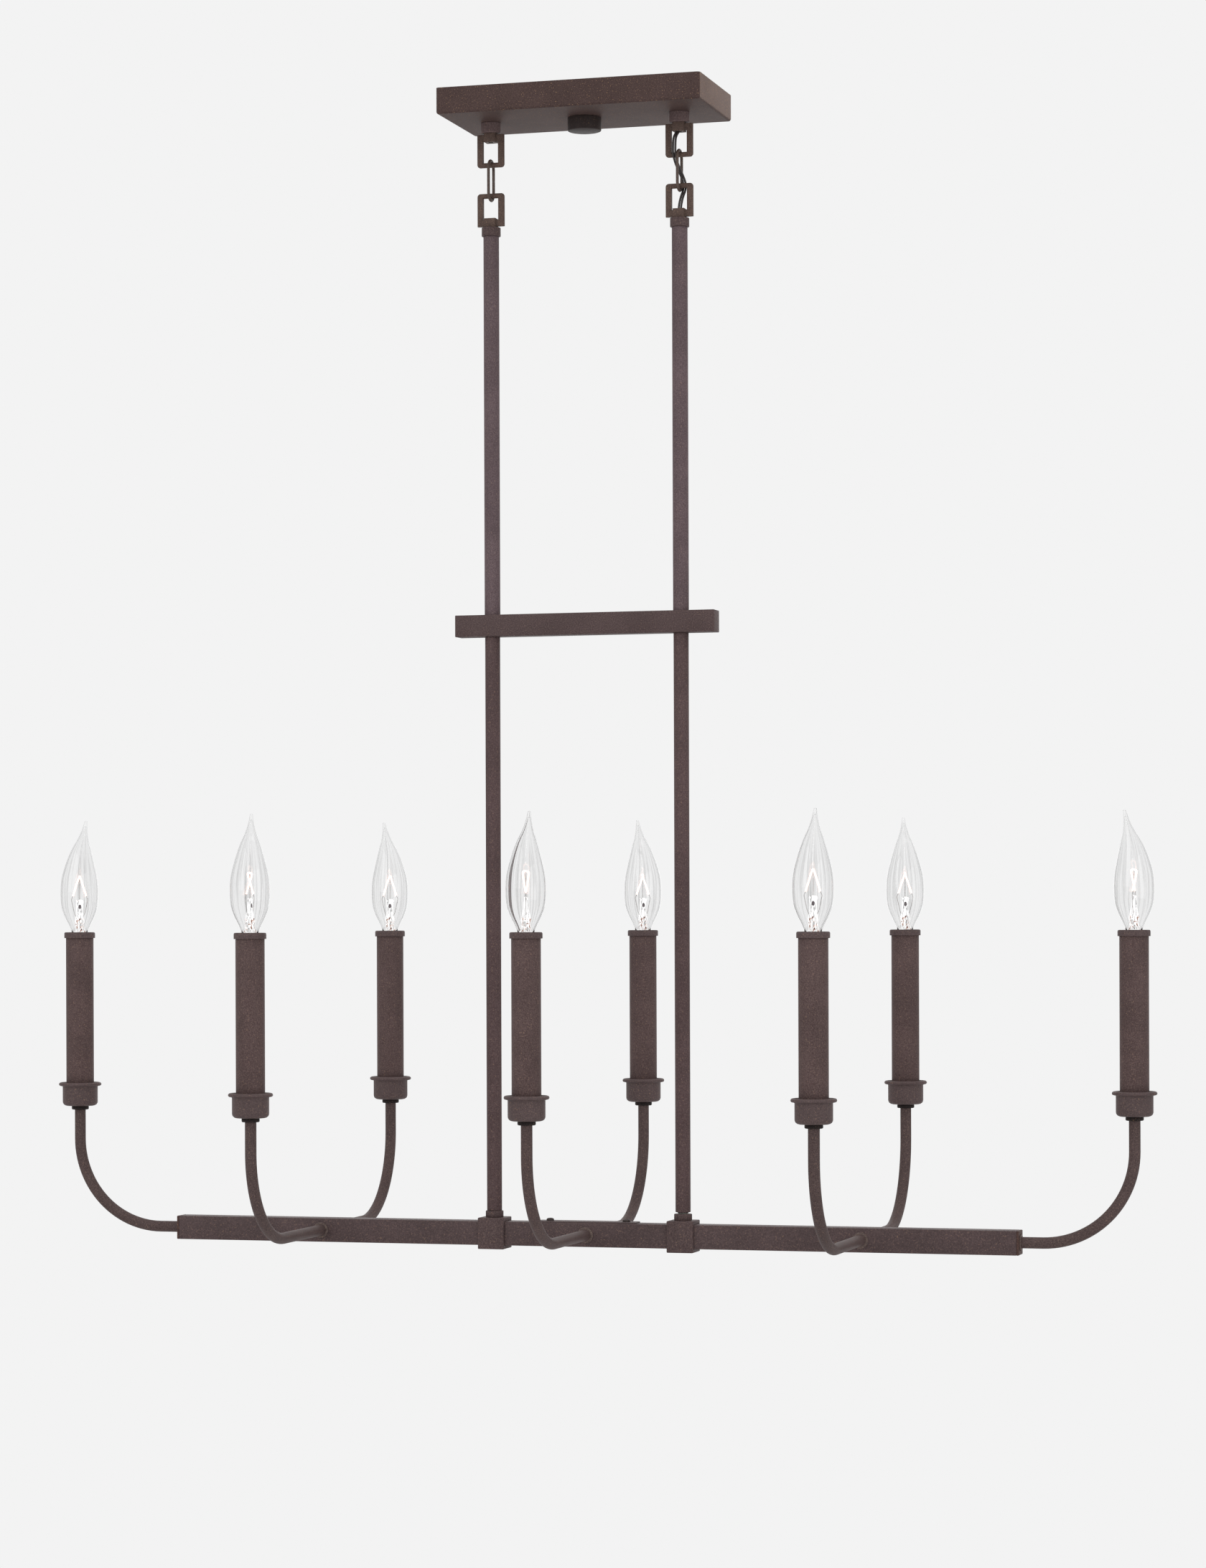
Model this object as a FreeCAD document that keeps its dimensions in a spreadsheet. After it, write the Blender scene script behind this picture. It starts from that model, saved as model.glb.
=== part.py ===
import FreeCAD, Part
import math
import os
import Sketcher

# Linear island pendant: a rectangular canopy carries two chain links, two rods and a crossbar,
# and the rods end in saddles on a long bar with eight curved arms, each with a candle and a bulb.
# Millimetres. The origin is the centre of the canopy's ceiling face, +X runs along the bar,
# -Y is the front and +Z is up, so everything hangs at negative Z.

os.makedirs("parts", exist_ok=True)
doc = FreeCAD.newDocument("island_pendant")
sheet = doc.addObject("Spreadsheet::Sheet", "Sizes")
V = FreeCAD.Vector


class Size:
    """A length or angle: its number now, and the sheet expression that gives it."""

    def __init__(self, value, text):
        self.value = value
        self.text = text

    def __add__(self, other):
        other = as_size(other)
        return Size(self.value + other.value, "(%s + %s)" % (self.text, other.text))

    def __sub__(self, other):
        other = as_size(other)
        return Size(self.value - other.value, "(%s - %s)" % (self.text, other.text))

    def __mul__(self, other):
        other = as_size(other)
        return Size(self.value * other.value, "%s * %s" % (self.text, other.text))

    def __truediv__(self, other):
        other = as_size(other)
        return Size(self.value / other.value, "%s / %s" % (self.text, other.text))

    def __rsub__(self, other):
        return as_size(other) - self

    def __neg__(self):
        return self * -1

    __radd__ = __add__
    __rmul__ = __mul__


def as_size(number):
    """Give a plain number the same form as a size from the sheet."""
    if isinstance(number, Size):
        return number
    return Size(float(number), "(%r)" % float(number))


def size(alias, value):
    """Put one driving dimension in the sheet and return it as a Size."""
    row = str(size.row)
    size.row += 1
    sheet.set("A" + row, alias)
    sheet.set("B" + row, str(value))
    sheet.setAlias("B" + row, alias)
    return Size(float(value), "Sizes." + alias)


size.row = 1

# Fits and stock
slip = size("slip_clearance", 0.1)
swing_gap = size("link_swing_gap", 0.55)
pipe_outer = size("pipe_thread_outer", 10.2)
pipe_bore = size("pipe_thread_bore", 7.2)
nut_flats = size("lock_nut_flats", 14.0)
nut_height = size("lock_nut_height", 3.2)
stem_nut_flats = size("stem_nut_flats", 11.9)

# Canopy and what fixes it to the ceiling box
canopy_length = size("canopy_length", 250.0)
canopy_width = size("canopy_width", 116.0)
canopy_height = size("canopy_height", 24.0)
canopy_wall = size("canopy_wall", 1.2)
canopy_corner = size("canopy_corner_radius", 3.0)
canopy_edge = size("canopy_edge_radius", 2.2)
strap_length = size("strap_length", 112.0)
strap_width = size("strap_width", 20.0)
strap_sheet = size("strap_thickness", 2.0)
box_screw_spacing = size("box_screw_spacing", 88.9)
box_slot_length = size("box_slot_length", 14.0)
box_slot_width = size("box_slot_width", 5.0)
knob_radius = size("knob_radius", 15.5)
knob_height = size("knob_height", 12.4)
knob_bevel = size("knob_bevel", 0.8)
knob_thread_depth = size("knob_thread_depth", 8.0)
knob_thread_room = size("knob_thread_room", 0.5)
nipple_recess = size("nipple_recess_depth", 0.3)
earth_screw_offset = size("earth_screw_offset", 20.0)
screw_shank_radius = size("screw_shank_radius", 1.5)
screw_head_radius = size("screw_head_radius", 3.6)
screw_head_height = size("screw_head_height", 2.4)
screw_length = size("screw_length", 7.0)
earth_screw_length = size("earth_screw_length", 1.9)

# Hanging loops and links
rod_spacing = size("rod_spacing", 180.8)
ferrule_radius = size("ferrule_radius", 9.1)
ferrule_height = size("ferrule_height", 9.5)
loop_width = size("loop_width", 26.0)
loop_height = size("loop_height", 30.5)
loop_limb = size("loop_limb", 5.5)
loop_hub_bar = size("loop_hub_bar", 6.0)
loop_far_bar = size("loop_far_bar", 4.5)
loop_thickness = size("loop_thickness", 4.6)
loop_seat_radius = size("loop_seat_radius", 1.8)
loop_corner = size("loop_corner_radius", 3.0)
hub_width = size("hub_width", 10.6)
hub_depth = size("hub_depth", 10.0)
hub_height = size("hub_height", 8.4)
hub_proud = size("hub_proud", 1.2)
stem_outer = size("stem_thread_outer", 7.0)
stem_bore = size("stem_thread_bore", 5.0)
stem_reach = size("stem_thread_reach", 7.0)
stem_past_nut = size("stem_length_past_nut", 0.8)
stem_recess = size("stem_recess_depth", 0.4)
link_pitch = size("link_pitch", 28.5)
link_wire = size("link_wire_diameter", 2.7)
link_width = size("link_width", 18.0)
link_seam = size("link_seam", 0.4)

# Rods and crossbar
collar_radius = size("collar_radius", 8.8)
collar_height = size("collar_height", 8.2)
spigot_length = size("spigot_length", 12.0)
rod_bore = size("rod_bore_radius", 5.3)
upper_rod_radius = size("upper_rod_radius", 7.25)
upper_rod_length = size("upper_rod_length", 351.0)
crossbar_length = size("crossbar_length", 248.0)
crossbar_height = size("crossbar_height", 20.0)
crossbar_depth = size("crossbar_depth", 19.0)
crossbar_wall = size("crossbar_wall", 1.5)
coupler_reach = size("coupler_reach", 15.0)
lower_rod_radius = size("lower_rod_radius", 6.95)
lower_rod_length = size("lower_rod_length", 530.0)
thread_gap = size("bare_thread_gap", 1.6)
foot_collar_radius = size("foot_collar_radius", 8.25)
foot_collar_height = size("foot_collar_height", 6.0)
foot_past_nut = size("foot_length_past_nut", 0.6)

# Main bar
bar_length = size("bar_length", 805.0)
bar_height = size("bar_height", 22.0)
bar_depth = size("bar_depth", 20.0)
bar_wall = size("bar_wall", 1.5)
bar_edge = size("bar_edge_radius", 0.8)
end_plate = size("end_plate_thickness", 2.0)
saddle_length = size("saddle_length", 25.0)
saddle_side = size("saddle_side_wall", 3.0)
saddle_cap = size("saddle_cap_wall", 3.5)
saddle_edge = size("saddle_edge_bevel", 0.6)
cover_length = size("cover_length", 95.0)
cover_width = size("cover_width", 17.0)
cover_sheet = size("cover_thickness", 1.2)
cover_screw_spacing = size("cover_screw_spacing", 73.0)
access_length = size("access_slot_length", 56.0)
access_width = size("access_slot_width", 11.0)

# Arms
arm_radius = size("arm_radius", 5.15)
arm_bore_radius = size("arm_bore_radius", 3.75)
arm_bend = size("arm_bend_radius", 82.4)
end_reach = size("end_arm_reach", 102.5)
side_reach = size("side_arm_reach", 191.0)
arm_spacing = size("side_arm_spacing", 258.0)
arm_rise = size("arm_rise", 113.7)
arm_thread = size("arm_thread_inside", 5.5)
arm_stub = size("arm_stub_in_cup", 6.0)
arm_bore_depth = size("arm_bore_depth", 14.0)
washer_radius = size("arm_washer_radius", 7.4)
washer_sheet = size("arm_washer_thickness", 1.0)
foot_radius = size("cup_foot_radius", 8.1)
foot_height = size("cup_foot_height", 3.6)

# Candles
cup_radius = size("cup_radius", 16.6)
cup_wall = size("cup_wall", 1.2)
cup_bottom_bevel = size("cup_bottom_bevel", 3.4)
cup_wall_height = size("cup_wall_height", 17.6)
rim_radius = size("rim_radius", 20.1)
rim_height = size("rim_height", 22.4)
rim_bead = size("rim_bead_height", 3.4)
rim_soft = size("rim_edge_radius", 0.5)
sleeve_radius = size("sleeve_radius", 13.05)
sleeve_wall = size("sleeve_wall", 1.2)
candle_height = size("candle_height", 165.6)
ring_radius = size("ring_radius", 14.6)
ring_height = size("ring_height", 5.6)
ring_plate = size("ring_plate", 1.4)
ring_bevel = size("ring_bevel", 0.7)
ring_hole = size("ring_hole_radius", 10.2)
socket_radius = size("socket_radius", 9.4)
socket_height = size("socket_height", 34.0)
socket_depth = size("socket_depth", 21.0)
socket_drop = size("socket_below_ring_top", 4.0)
socket_stem_wall = size("socket_stem_wall", 0.9)
base_radius = size("bulb_base_radius", 6.1)
base_height = size("bulb_base_height", 17.0)
base_contact = size("bulb_contact_radius", 2.44)

# Bulbs: the radii are those of the glass at named heights above the ring's top
glass_wall = size("glass_wall", 0.9)
glass_foot = size("glass_foot_radius", 6.4)
glass_neck = size("glass_neck_radius", 7.7)
glass_belly = size("glass_belly_radius", 17.8)
belly_height = size("glass_belly_height", 37.0)
flame_height = size("flame_height", 97.0)
flame_radius = size("flame_end_radius", 2.6)
flame_tip_run = size("flame_tip_length", 3.0)
tip_height = size("tip_height", 105.0)
tip_radius = size("tip_radius", 1.5)
tip_bend = size("tip_bend", 8.0)
mount_foot = size("glass_mount_foot_radius", 5.05)
mount_radius = size("glass_mount_radius", 2.6)
mount_height = size("glass_mount_height", 26.0)

# Supply wire: two strands side by side
strand_radius = size("strand_radius", 1.0)
strand_spacing = size("strand_spacing", 2.2)
terminal_width = size("terminal_width", 12.0)
terminal_depth = size("terminal_depth", 9.0)
terminal_height = size("terminal_height", 11.0)
terminal_entry_depth = size("terminal_entry_depth", 7.0)
terminal_end_gap = size("terminal_end_gap", 0.5)
wire_bar_gap = size("wire_to_bar_gap", 0.9)
wire_link_gap = size("wire_to_link_gap", 0.35)
wire_hub_run = size("wire_length_past_hub", 1.5)
wire_loop_run = size("wire_length_in_loop", 6.4)
wire_link_run = size("wire_length_in_link", 4.0)
wire_bar_run = size("wire_height_over_axis", 2.0)

nodes = []


def drive(obj, prop, value):
    """Bind a property to the sheet, or set it when it is a plain number."""
    if isinstance(value, Size):
        obj.setExpression(prop, value.text)
    else:
        setattr(obj, prop, value)


def place(obj, x=0, y=0, z=0, turn=None):
    """Put an object at a place that follows the sheet, after a fixed turn."""
    at = [as_size(v) for v in (x, y, z)]
    obj.Placement = FreeCAD.Placement(V(*[v.value for v in at]), turn or FreeCAD.Rotation())
    for axis, source, v in zip("xyz", (x, y, z), at):
        if isinstance(source, Size):
            obj.setExpression("Placement.Base." + axis, v.text)
    return obj


def make(kind, name, sizes, x=0, y=0, z=0, turn=None):
    """Add one primitive with its sizes and place."""
    obj = doc.addObject(kind, name)
    for prop, value in sizes.items():
        drive(obj, prop, value)
    return place(obj, x, y, z, turn)


HALF_TURN = 180
ALONG_X = FreeCAD.Rotation(V(0, 1, 0), 90)
ALONG_Y = FreeCAD.Rotation(V(1, 0, 0), -90)
UPSIDE_DOWN = FreeCAD.Rotation(V(1, 0, 0), HALF_TURN)


def rod(name, radius, length, x=0, y=0, z=0, turn=None):
    return make("Part::Cylinder", name, {"Radius": radius, "Height": length}, x, y, z, turn)


def block(name, length, width, height, x=0, y=0, z=0):
    """A box centred on x and y that stands on z."""
    sizes = {"Length": length, "Width": width, "Height": height}
    return make("Part::Box", name, sizes, x - length / 2, y - width / 2, z)


def fuse(name, shapes):
    obj = doc.addObject("Part::MultiFuse", name)
    obj.Shapes = shapes
    obj.Refine = True
    return obj


def cut(name, base, tools):
    obj = doc.addObject("Part::Cut", name)
    obj.Base = base
    obj.Tool = tools[0] if len(tools) == 1 else fuse(name + "_tools", tools)
    return obj


def tube(name, radius, bore, length, x=0, y=0, z=0, turn=None):
    outer = rod(name + "_outer", radius, length)
    inner = rod(name + "_inner", bore, length + 2, z=-1)
    return place(cut(name, outer, [inner]), x, y, z, turn)


def hex_nut(name, x=0, y=0, z=0, turn=None):
    """A hexagon nut on the pipe thread, its bore clear of the thread by the slip."""
    across_corners = nut_flats / math.sqrt(3)
    sizes = {"Circumradius": across_corners, "Height": nut_height}
    body = make("Part::Prism", name + "_hex", sizes)
    body.Polygon = 6
    bore = rod(name + "_bore", pipe_outer / 2 + slip, nut_height + 2, z=-1)
    return place(cut(name, body, [bore]), x, y, z, turn)


def group(name, shapes):
    obj = doc.addObject("Part::Compound", name)
    obj.Links = shapes
    return node(obj)


def node(obj):
    """List a finished sub-part: its label names its file."""
    obj.Label = obj.Name
    nodes.append(obj)
    return obj


def new_body(name, x=0, y=0, z=0, turn=None):
    return place(doc.addObject("PartDesign::Body", name), x, y, z, turn)


def feature(body, kind, name, sizes, x=0, y=0, z=0, turn=None):
    obj = body.newObject("PartDesign::" + kind, body.Name + "_" + name)
    for prop, value in sizes.items():
        drive(obj, prop, value)
    place(obj, x, y, z, turn)
    return obj


def solid_block(body, kind, name, length, width, height, x=0, y=0, z=0):
    """Add or take away a box centred on x and y that stands on z."""
    sizes = {"Length": length, "Width": width, "Height": height}
    return feature(body, kind + "Box", name, sizes, x - length / 2, y - width / 2, z)


def solid_round(body, kind, name, radius, length, x=0, y=0, z=0, turn=None):
    sizes = {"Radius": radius, "Height": length}
    return feature(body, kind + "Cylinder", name, sizes, x, y, z, turn)


def dress(body, kind, prop, value, wanted):
    """Round or bevel the edges of the body that pass the test."""
    doc.recompute()
    base = body.Tip
    edges = body.Tip.Shape.Edges
    picked = ["Edge%d" % (i + 1) for i, edge in enumerate(edges) if wanted(edge)]
    obj = body.newObject("PartDesign::" + kind, body.Name + "_" + kind.lower())
    obj.Base = (base, picked)
    drive(obj, prop, value)
    return obj


def origin_plane(body, role):
    return [f for f in body.Origin.OriginFeatures if f.Role == role][0]


def new_sketch(body, role, name):
    sketch = body.newObject("Sketcher::SketchObject", body.Name + "_" + name)
    sketch.AttachmentSupport = [(origin_plane(body, role), "")]
    sketch.MapMode = "FlatFace"
    return sketch


def pin(sketch, geometry, end, across, up):
    """Hold one end of a line or arc at a place that follows the sheet."""
    for kind, value, axis in (("DistanceX", across, -2), ("DistanceY", up, -1)):
        value = as_size(value)
        if abs(value.value) < 1e-9:
            sketch.addConstraint(Sketcher.Constraint("PointOnObject", geometry, end, axis))
            continue
        number = sketch.addConstraint(
            Sketcher.Constraint(kind, -1, 1, geometry, end, value.value)
        )
        sketch.setExpression("Constraints[%d]" % number, value.text)


def outline(sketch, corners):
    """Draw a closed outline of straight sides through the corners given."""
    points = [V(as_size(a).value, as_size(b).value, 0) for a, b in corners]
    count = len(corners)
    for i in range(count):
        sketch.addGeometry(Part.LineSegment(points[i], points[(i + 1) % count]), False)
    for i in range(count):
        after = (i + 1) % count
        sketch.addConstraint(Sketcher.Constraint("Coincident", i, 2, after, 1))
        pin(sketch, i, 1, *corners[i])


def turned(name, corners, x=0, y=0, z=0, turn=None):
    """A round piece: an outline of radius and height turned about its own Z axis."""
    body = new_body(name, x, y, z, turn)
    sketch = new_sketch(body, "XZ_Plane", "profile")
    outline(sketch, corners)
    spun = body.newObject("PartDesign::Revolution", name + "_turned")
    spun.Profile = sketch
    spun.ReferenceAxis = (sketch, ["V_Axis"])
    spun.Angle = 360
    return body


# Heights that the hanging pieces share, each from the piece above it
rod_side = rod_spacing / 2
ferrule_top = -canopy_height
stem_top = ferrule_top + canopy_wall + nut_height + stem_past_nut
hub_top = ferrule_top - ferrule_height
upper_frame_top = hub_top - hub_proud
upper_pivot = upper_frame_top - loop_height + loop_far_bar / 2
lower_pivot = upper_pivot - link_pitch
lower_frame_top = lower_pivot + loop_far_bar / 2
collar_top = lower_frame_top - loop_height - hub_proud
upper_rod_top = collar_top - collar_height
crossbar_top = upper_rod_top - upper_rod_length
crossbar_bottom = crossbar_top - crossbar_height
lower_rod_bottom = crossbar_bottom - lower_rod_length
foot_top = lower_rod_bottom - thread_gap
saddle_top = foot_top - foot_collar_height
bar_top = saddle_top - saddle_cap
bar_bottom = bar_top - bar_height
bar_axis = bar_top - bar_height / 2
cup_base = bar_axis + arm_rise
ring_top = cup_base + candle_height
SIDES = (("left", -1), ("right", 1))


# --- Ceiling side -------------------------------------------------------------------------

# The strap screws to the ceiling box through its two slots and holds the canopy's nipple.
def mounting_strap():
    body = new_body("mounting_strap")
    solid_block(body, "Additive", "plate", strap_length, strap_width, strap_sheet, z=-strap_sheet)
    solid_round(body, "Subtractive", "nipple_hole", pipe_outer / 2 + slip, 10, z=-5)
    for side, sign in SIDES:
        middle = box_screw_spacing / 2 * sign
        straight = box_slot_length - box_slot_width
        solid_block(body, "Subtractive", "slot_" + side, straight, box_slot_width, 10, middle, 0, -5)
        for end in (-1, 1):
            name = "slot_end_%s_%d" % (side, end + 1)
            at = middle + straight / 2 * end
            solid_round(body, "Subtractive", name, box_slot_width / 2, 10, at, 0, -5)
    earth_hole = screw_shank_radius + slip
    solid_round(body, "Subtractive", "earth_hole", earth_hole, 10, earth_screw_offset, 0, -5)
    return node(body)


# The canopy is a folded pan, open to the ceiling, with holes for the nipple and the two ferrules.
def canopy():
    body = new_body("canopy")
    solid_block(body, "Additive", "pan", canopy_length, canopy_width, canopy_height, z=-canopy_height)
    dress(body, "Fillet", "Radius", canopy_corner, is_upright)
    low = -canopy_height.value + 0.01
    dress(body, "Fillet", "Radius", canopy_edge, lambda e: e.BoundBox.ZMax < low)
    inner_length = canopy_length - canopy_wall * 2
    inner_width = canopy_width - canopy_wall * 2
    inner_height = canopy_height - canopy_wall
    low_inside = -inner_height
    solid_block(body, "Subtractive", "inside", inner_length, inner_width, inner_height + 5, z=low_inside)
    solid_round(body, "Subtractive", "nipple_hole", pipe_outer / 2 + slip, 10, z=-canopy_height - 5)
    for side, sign in SIDES:
        hole = stem_outer / 2 + slip
        place_x = rod_side * sign
        solid_round(body, "Subtractive", "ferrule_hole_" + side, hole, 10, place_x, 0, -canopy_height - 5)
    return node(body)


def is_upright(edge):
    box = edge.BoundBox
    return box.ZLength > 1 and box.XLength < 1e-6 and box.YLength < 1e-6


# A threaded pipe runs from the strap down into the knob, which holds the canopy up.
def canopy_fixing():
    floor = -canopy_height
    nipple_low = floor - knob_thread_depth + knob_thread_room
    nipple_length = -nipple_low - nipple_recess
    node(tube("canopy_nipple", pipe_outer / 2, pipe_bore / 2, nipple_length, z=nipple_low))
    blind = pipe_outer / 2 + slip
    corners = (
        (0, -knob_height),
        (knob_radius - knob_bevel, -knob_height),
        (knob_radius, -knob_height + knob_bevel),
        (knob_radius, 0),
        (blind, 0),
        (blind, -knob_thread_depth),
        (0, -knob_thread_depth),
    )
    node(turned("canopy_cap_nut", corners, z=floor))
    group(
        "canopy_lock_nuts",
        [
            hex_nut("strap_nut", z=-strap_sheet - nut_height),
            stem_nut("ferrule_nut_left", -rod_side, floor + canopy_wall),
            stem_nut("ferrule_nut_right", rod_side, floor + canopy_wall),
        ],
    )


def stem_nut(name, x, z):
    """A small hexagon nut on the loop's threaded stem."""
    sizes = {"Circumradius": stem_nut_flats / math.sqrt(3), "Height": nut_height}
    body = make("Part::Prism", name + "_hex", sizes)
    body.Polygon = 6
    bore = rod(name + "_bore", stem_outer / 2 + slip, nut_height + 2, z=-1)
    return place(cut(name, body, [bore]), x, 0, z)


def pan_screw(name, length, x, z, turn=None):
    """A pan-head screw whose head stands on z, shank down."""
    head = rod(name + "_head", screw_head_radius, screw_head_height)
    shank = rod(name + "_shank", screw_shank_radius, length, z=-length)
    return place(fuse(name, [head, shank]), x, 0, z, turn)


# --- Loops and links ----------------------------------------------------------------------

# A loop is a flat casting: a square frame on a threaded hub, its far bar rounded for the link.
# It is drawn hanging below its hub, and the rod's loop is the same piece the other way up.
def loop(name, x, z, turn=None):
    body = new_body(name, x, 0, z, turn)
    frame_low = -hub_proud - loop_height
    solid_block(body, "Additive", "frame", loop_width, loop_thickness, loop_height, z=frame_low)
    low = frame_low.value + 0.01

    def far_corner(edge):
        box = edge.BoundBox
        return box.YLength > 1 and box.XLength < 1e-6 and box.ZMax < low

    dress(body, "Fillet", "Radius", loop_corner, far_corner)
    opening_height = loop_height - loop_hub_bar - loop_far_bar
    opening_low = frame_low + loop_far_bar
    opening_width = loop_width - loop_limb * 2
    opening = (opening_width, loop_thickness + 2, opening_height)
    solid_block(body, "Subtractive", "opening", *opening, z=opening_low)
    half = opening_width.value / 2 + 0.01

    def seat_edge(edge):
        box = edge.BoundBox
        inner = box.XMax < half and box.XMin > -half
        along = box.XLength > 1 and box.ZLength < 1e-6 and box.YLength < 1e-6
        return along and inner and abs(box.ZMax - opening_low.value) < 0.01

    def under_edge(edge):
        box = edge.BoundBox
        along = box.XLength > 1 and box.ZLength < 1e-6 and box.YLength < 1e-6
        return along and box.ZMax < low

    dress(body, "Fillet", "Radius", loop_seat_radius, lambda e: seat_edge(e) or under_edge(e))
    solid_block(body, "Additive", "hub", hub_width, hub_depth, hub_height, z=-hub_height)
    solid_round(body, "Subtractive", "bore", stem_outer / 2 + slip, hub_height + 2, z=-hub_height - 1)
    return body


# A link is one bent wire whose ends meet in a seam half way down its rear limb.
def link(name, x, z):
    bend = link_width / 2 - link_wire / 2
    wire = link_wire / 2
    straight = link_pitch + loop_far_bar + swing_gap * 2 + link_wire - bend * 2
    bow = {"Radius1": bend, "Radius2": wire, "Angle3": HALF_TURN}
    upright = FreeCAD.Rotation(V(0, 0, 1), 90).multiply(FreeCAD.Rotation(V(1, 0, 0), 90))
    inverted = UPSIDE_DOWN.multiply(upright)
    half = (straight - link_seam) / 2
    pieces = [
        make("Part::Torus", name + "_top", bow, z=straight / 2, turn=upright),
        make("Part::Torus", name + "_foot", bow, z=-straight / 2, turn=inverted),
        rod(name + "_front", wire, straight, 0, -bend, -straight / 2),
        rod(name + "_rear_high", wire, half, 0, bend, link_seam / 2),
        rod(name + "_rear_low", wire, half, 0, bend, -straight / 2),
    ]
    return place(fuse(name, pieces), x, 0, z)


def hanging():
    stems = []
    ferrules = []
    upper_loops = []
    lower_loops = []
    for side, sign in SIDES:
        x = rod_side * sign
        bore = stem_outer / 2 + slip
        ferrules.append(tube("ferrule_" + side, ferrule_radius, bore, ferrule_height, x, 0, hub_top))
        low = hub_top - hub_height + stem_recess
        reach = stem_top - low
        stems.append(tube("ferrule_stem_" + side, stem_outer / 2, stem_bore / 2, reach, x, 0, low))
        upper_loops.append(loop("canopy_loop_" + side, x, hub_top))
        node(link("link_" + side, x, (upper_pivot + lower_pivot) / 2))
        lower_loops.append(loop("rod_loop_" + side, x, collar_top, UPSIDE_DOWN))
    group("ferrules", ferrules)
    group("ferrule_stems", stems)
    group("canopy_loops", upper_loops)
    group("rod_loops", lower_loops)


# --- Rods and crossbar --------------------------------------------------------------------

# The collar closes the rod's top: a spigot fits the rod's bore and a stem joins it to the loop.
def rods():
    collars = []
    stems = []
    couplers = []
    feet = []
    foot_pipes = []
    bore = stem_outer / 2 + slip
    for side, sign in SIDES:
        x = rod_side * sign
        corners = (
            (bore, -collar_height - spigot_length),
            (rod_bore - slip, -collar_height - spigot_length),
            (rod_bore - slip, -collar_height),
            (collar_radius, -collar_height),
            (collar_radius, 0),
            (bore, 0),
        )
        collars.append(turned("collar_" + side, corners, x, 0, collar_top))
        low = collar_top - stem_reach
        length = stem_reach + hub_height - stem_recess
        stems.append(tube("loop_stem_" + side, stem_outer / 2, stem_bore / 2, length, x, 0, low))
        upper_low = upper_rod_top - upper_rod_length
        node(tube("upper_rod_" + side, upper_rod_radius, rod_bore, upper_rod_length, x, 0, upper_low))
        low = lower_rod_bottom
        node(tube("lower_rod_" + side, lower_rod_radius, rod_bore, lower_rod_length, x, 0, low))
        reach = crossbar_height + coupler_reach * 2
        low = crossbar_bottom - coupler_reach
        couplers.append(tube("coupler_" + side, pipe_outer / 2, pipe_bore / 2, reach, x, 0, low))
        sizes = (foot_collar_radius, pipe_outer / 2 + slip, foot_collar_height)
        feet.append(tube("foot_collar_" + side, *sizes, x, 0, saddle_top))
        low = bar_top - bar_wall - nut_height - foot_past_nut
        length = lower_rod_bottom + coupler_reach - low
        foot_pipes.append(tube("foot_pipe_" + side, pipe_outer / 2, pipe_bore / 2, length, x, 0, low))
    group("rod_collars", collars)
    group("rod_loop_stems", stems)
    group("rod_couplers", couplers)
    group("foot_collars", feet)
    group("foot_nipples", foot_pipes)


# The crossbar is a square tube with closed ends, bored through for the two couplers.
def crossbar():
    body = new_body("crossbar")
    outer = (crossbar_length, crossbar_depth, crossbar_height)
    solid_block(body, "Additive", "tube", *outer, z=crossbar_bottom)
    inner = [s - crossbar_wall * 2 for s in outer]
    solid_block(body, "Subtractive", "hollow", *inner, z=crossbar_bottom + crossbar_wall)
    for side, sign in SIDES:
        hole = pipe_outer / 2 + slip
        through = crossbar_height + 10
        low = crossbar_bottom - 5
        solid_round(body, "Subtractive", "bore_" + side, hole, through, rod_side * sign, 0, low)
    return node(body)


# --- Main bar -----------------------------------------------------------------------------

# The main bar is a rectangular tube. Arms pass through its walls, and a slot under the cover
# plate gives access to the wiring.
def main_bar():
    body = new_body("main_bar")
    tube_length = bar_length - end_plate * 2
    solid_block(body, "Additive", "tube", tube_length, bar_depth, bar_height, z=bar_bottom)
    dress(body, "Fillet", "Radius", bar_edge, lambda e: e.BoundBox.XLength > 1)
    inner_depth = bar_depth - bar_wall * 2
    inner_height = bar_height - bar_wall * 2
    low = bar_bottom + bar_wall
    solid_block(body, "Subtractive", "hollow", tube_length + 2, inner_depth, inner_height, z=low)
    for i in (-1, 0, 1):
        hole = arm_radius + slip
        name = "arm_hole_%d" % (i + 1)
        at = (arm_spacing * i, -bar_depth / 2 - 5, bar_axis)
        solid_round(body, "Subtractive", name, hole, bar_depth + 10, *at, ALONG_Y)
    for side, sign in SIDES:
        hole = pipe_outer / 2 + slip
        solid_round(body, "Subtractive", "foot_hole_" + side, hole, 10, rod_side * sign, 0, bar_top - 5)
        hole = screw_shank_radius + slip
        x = cover_screw_spacing / 2 * sign
        solid_round(body, "Subtractive", "screw_hole_" + side, hole, 10, x, 0, bar_top - 5)
    solid_block(body, "Subtractive", "access_slot", access_length, access_width, 10, z=bar_top - 5)
    return node(body)


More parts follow.
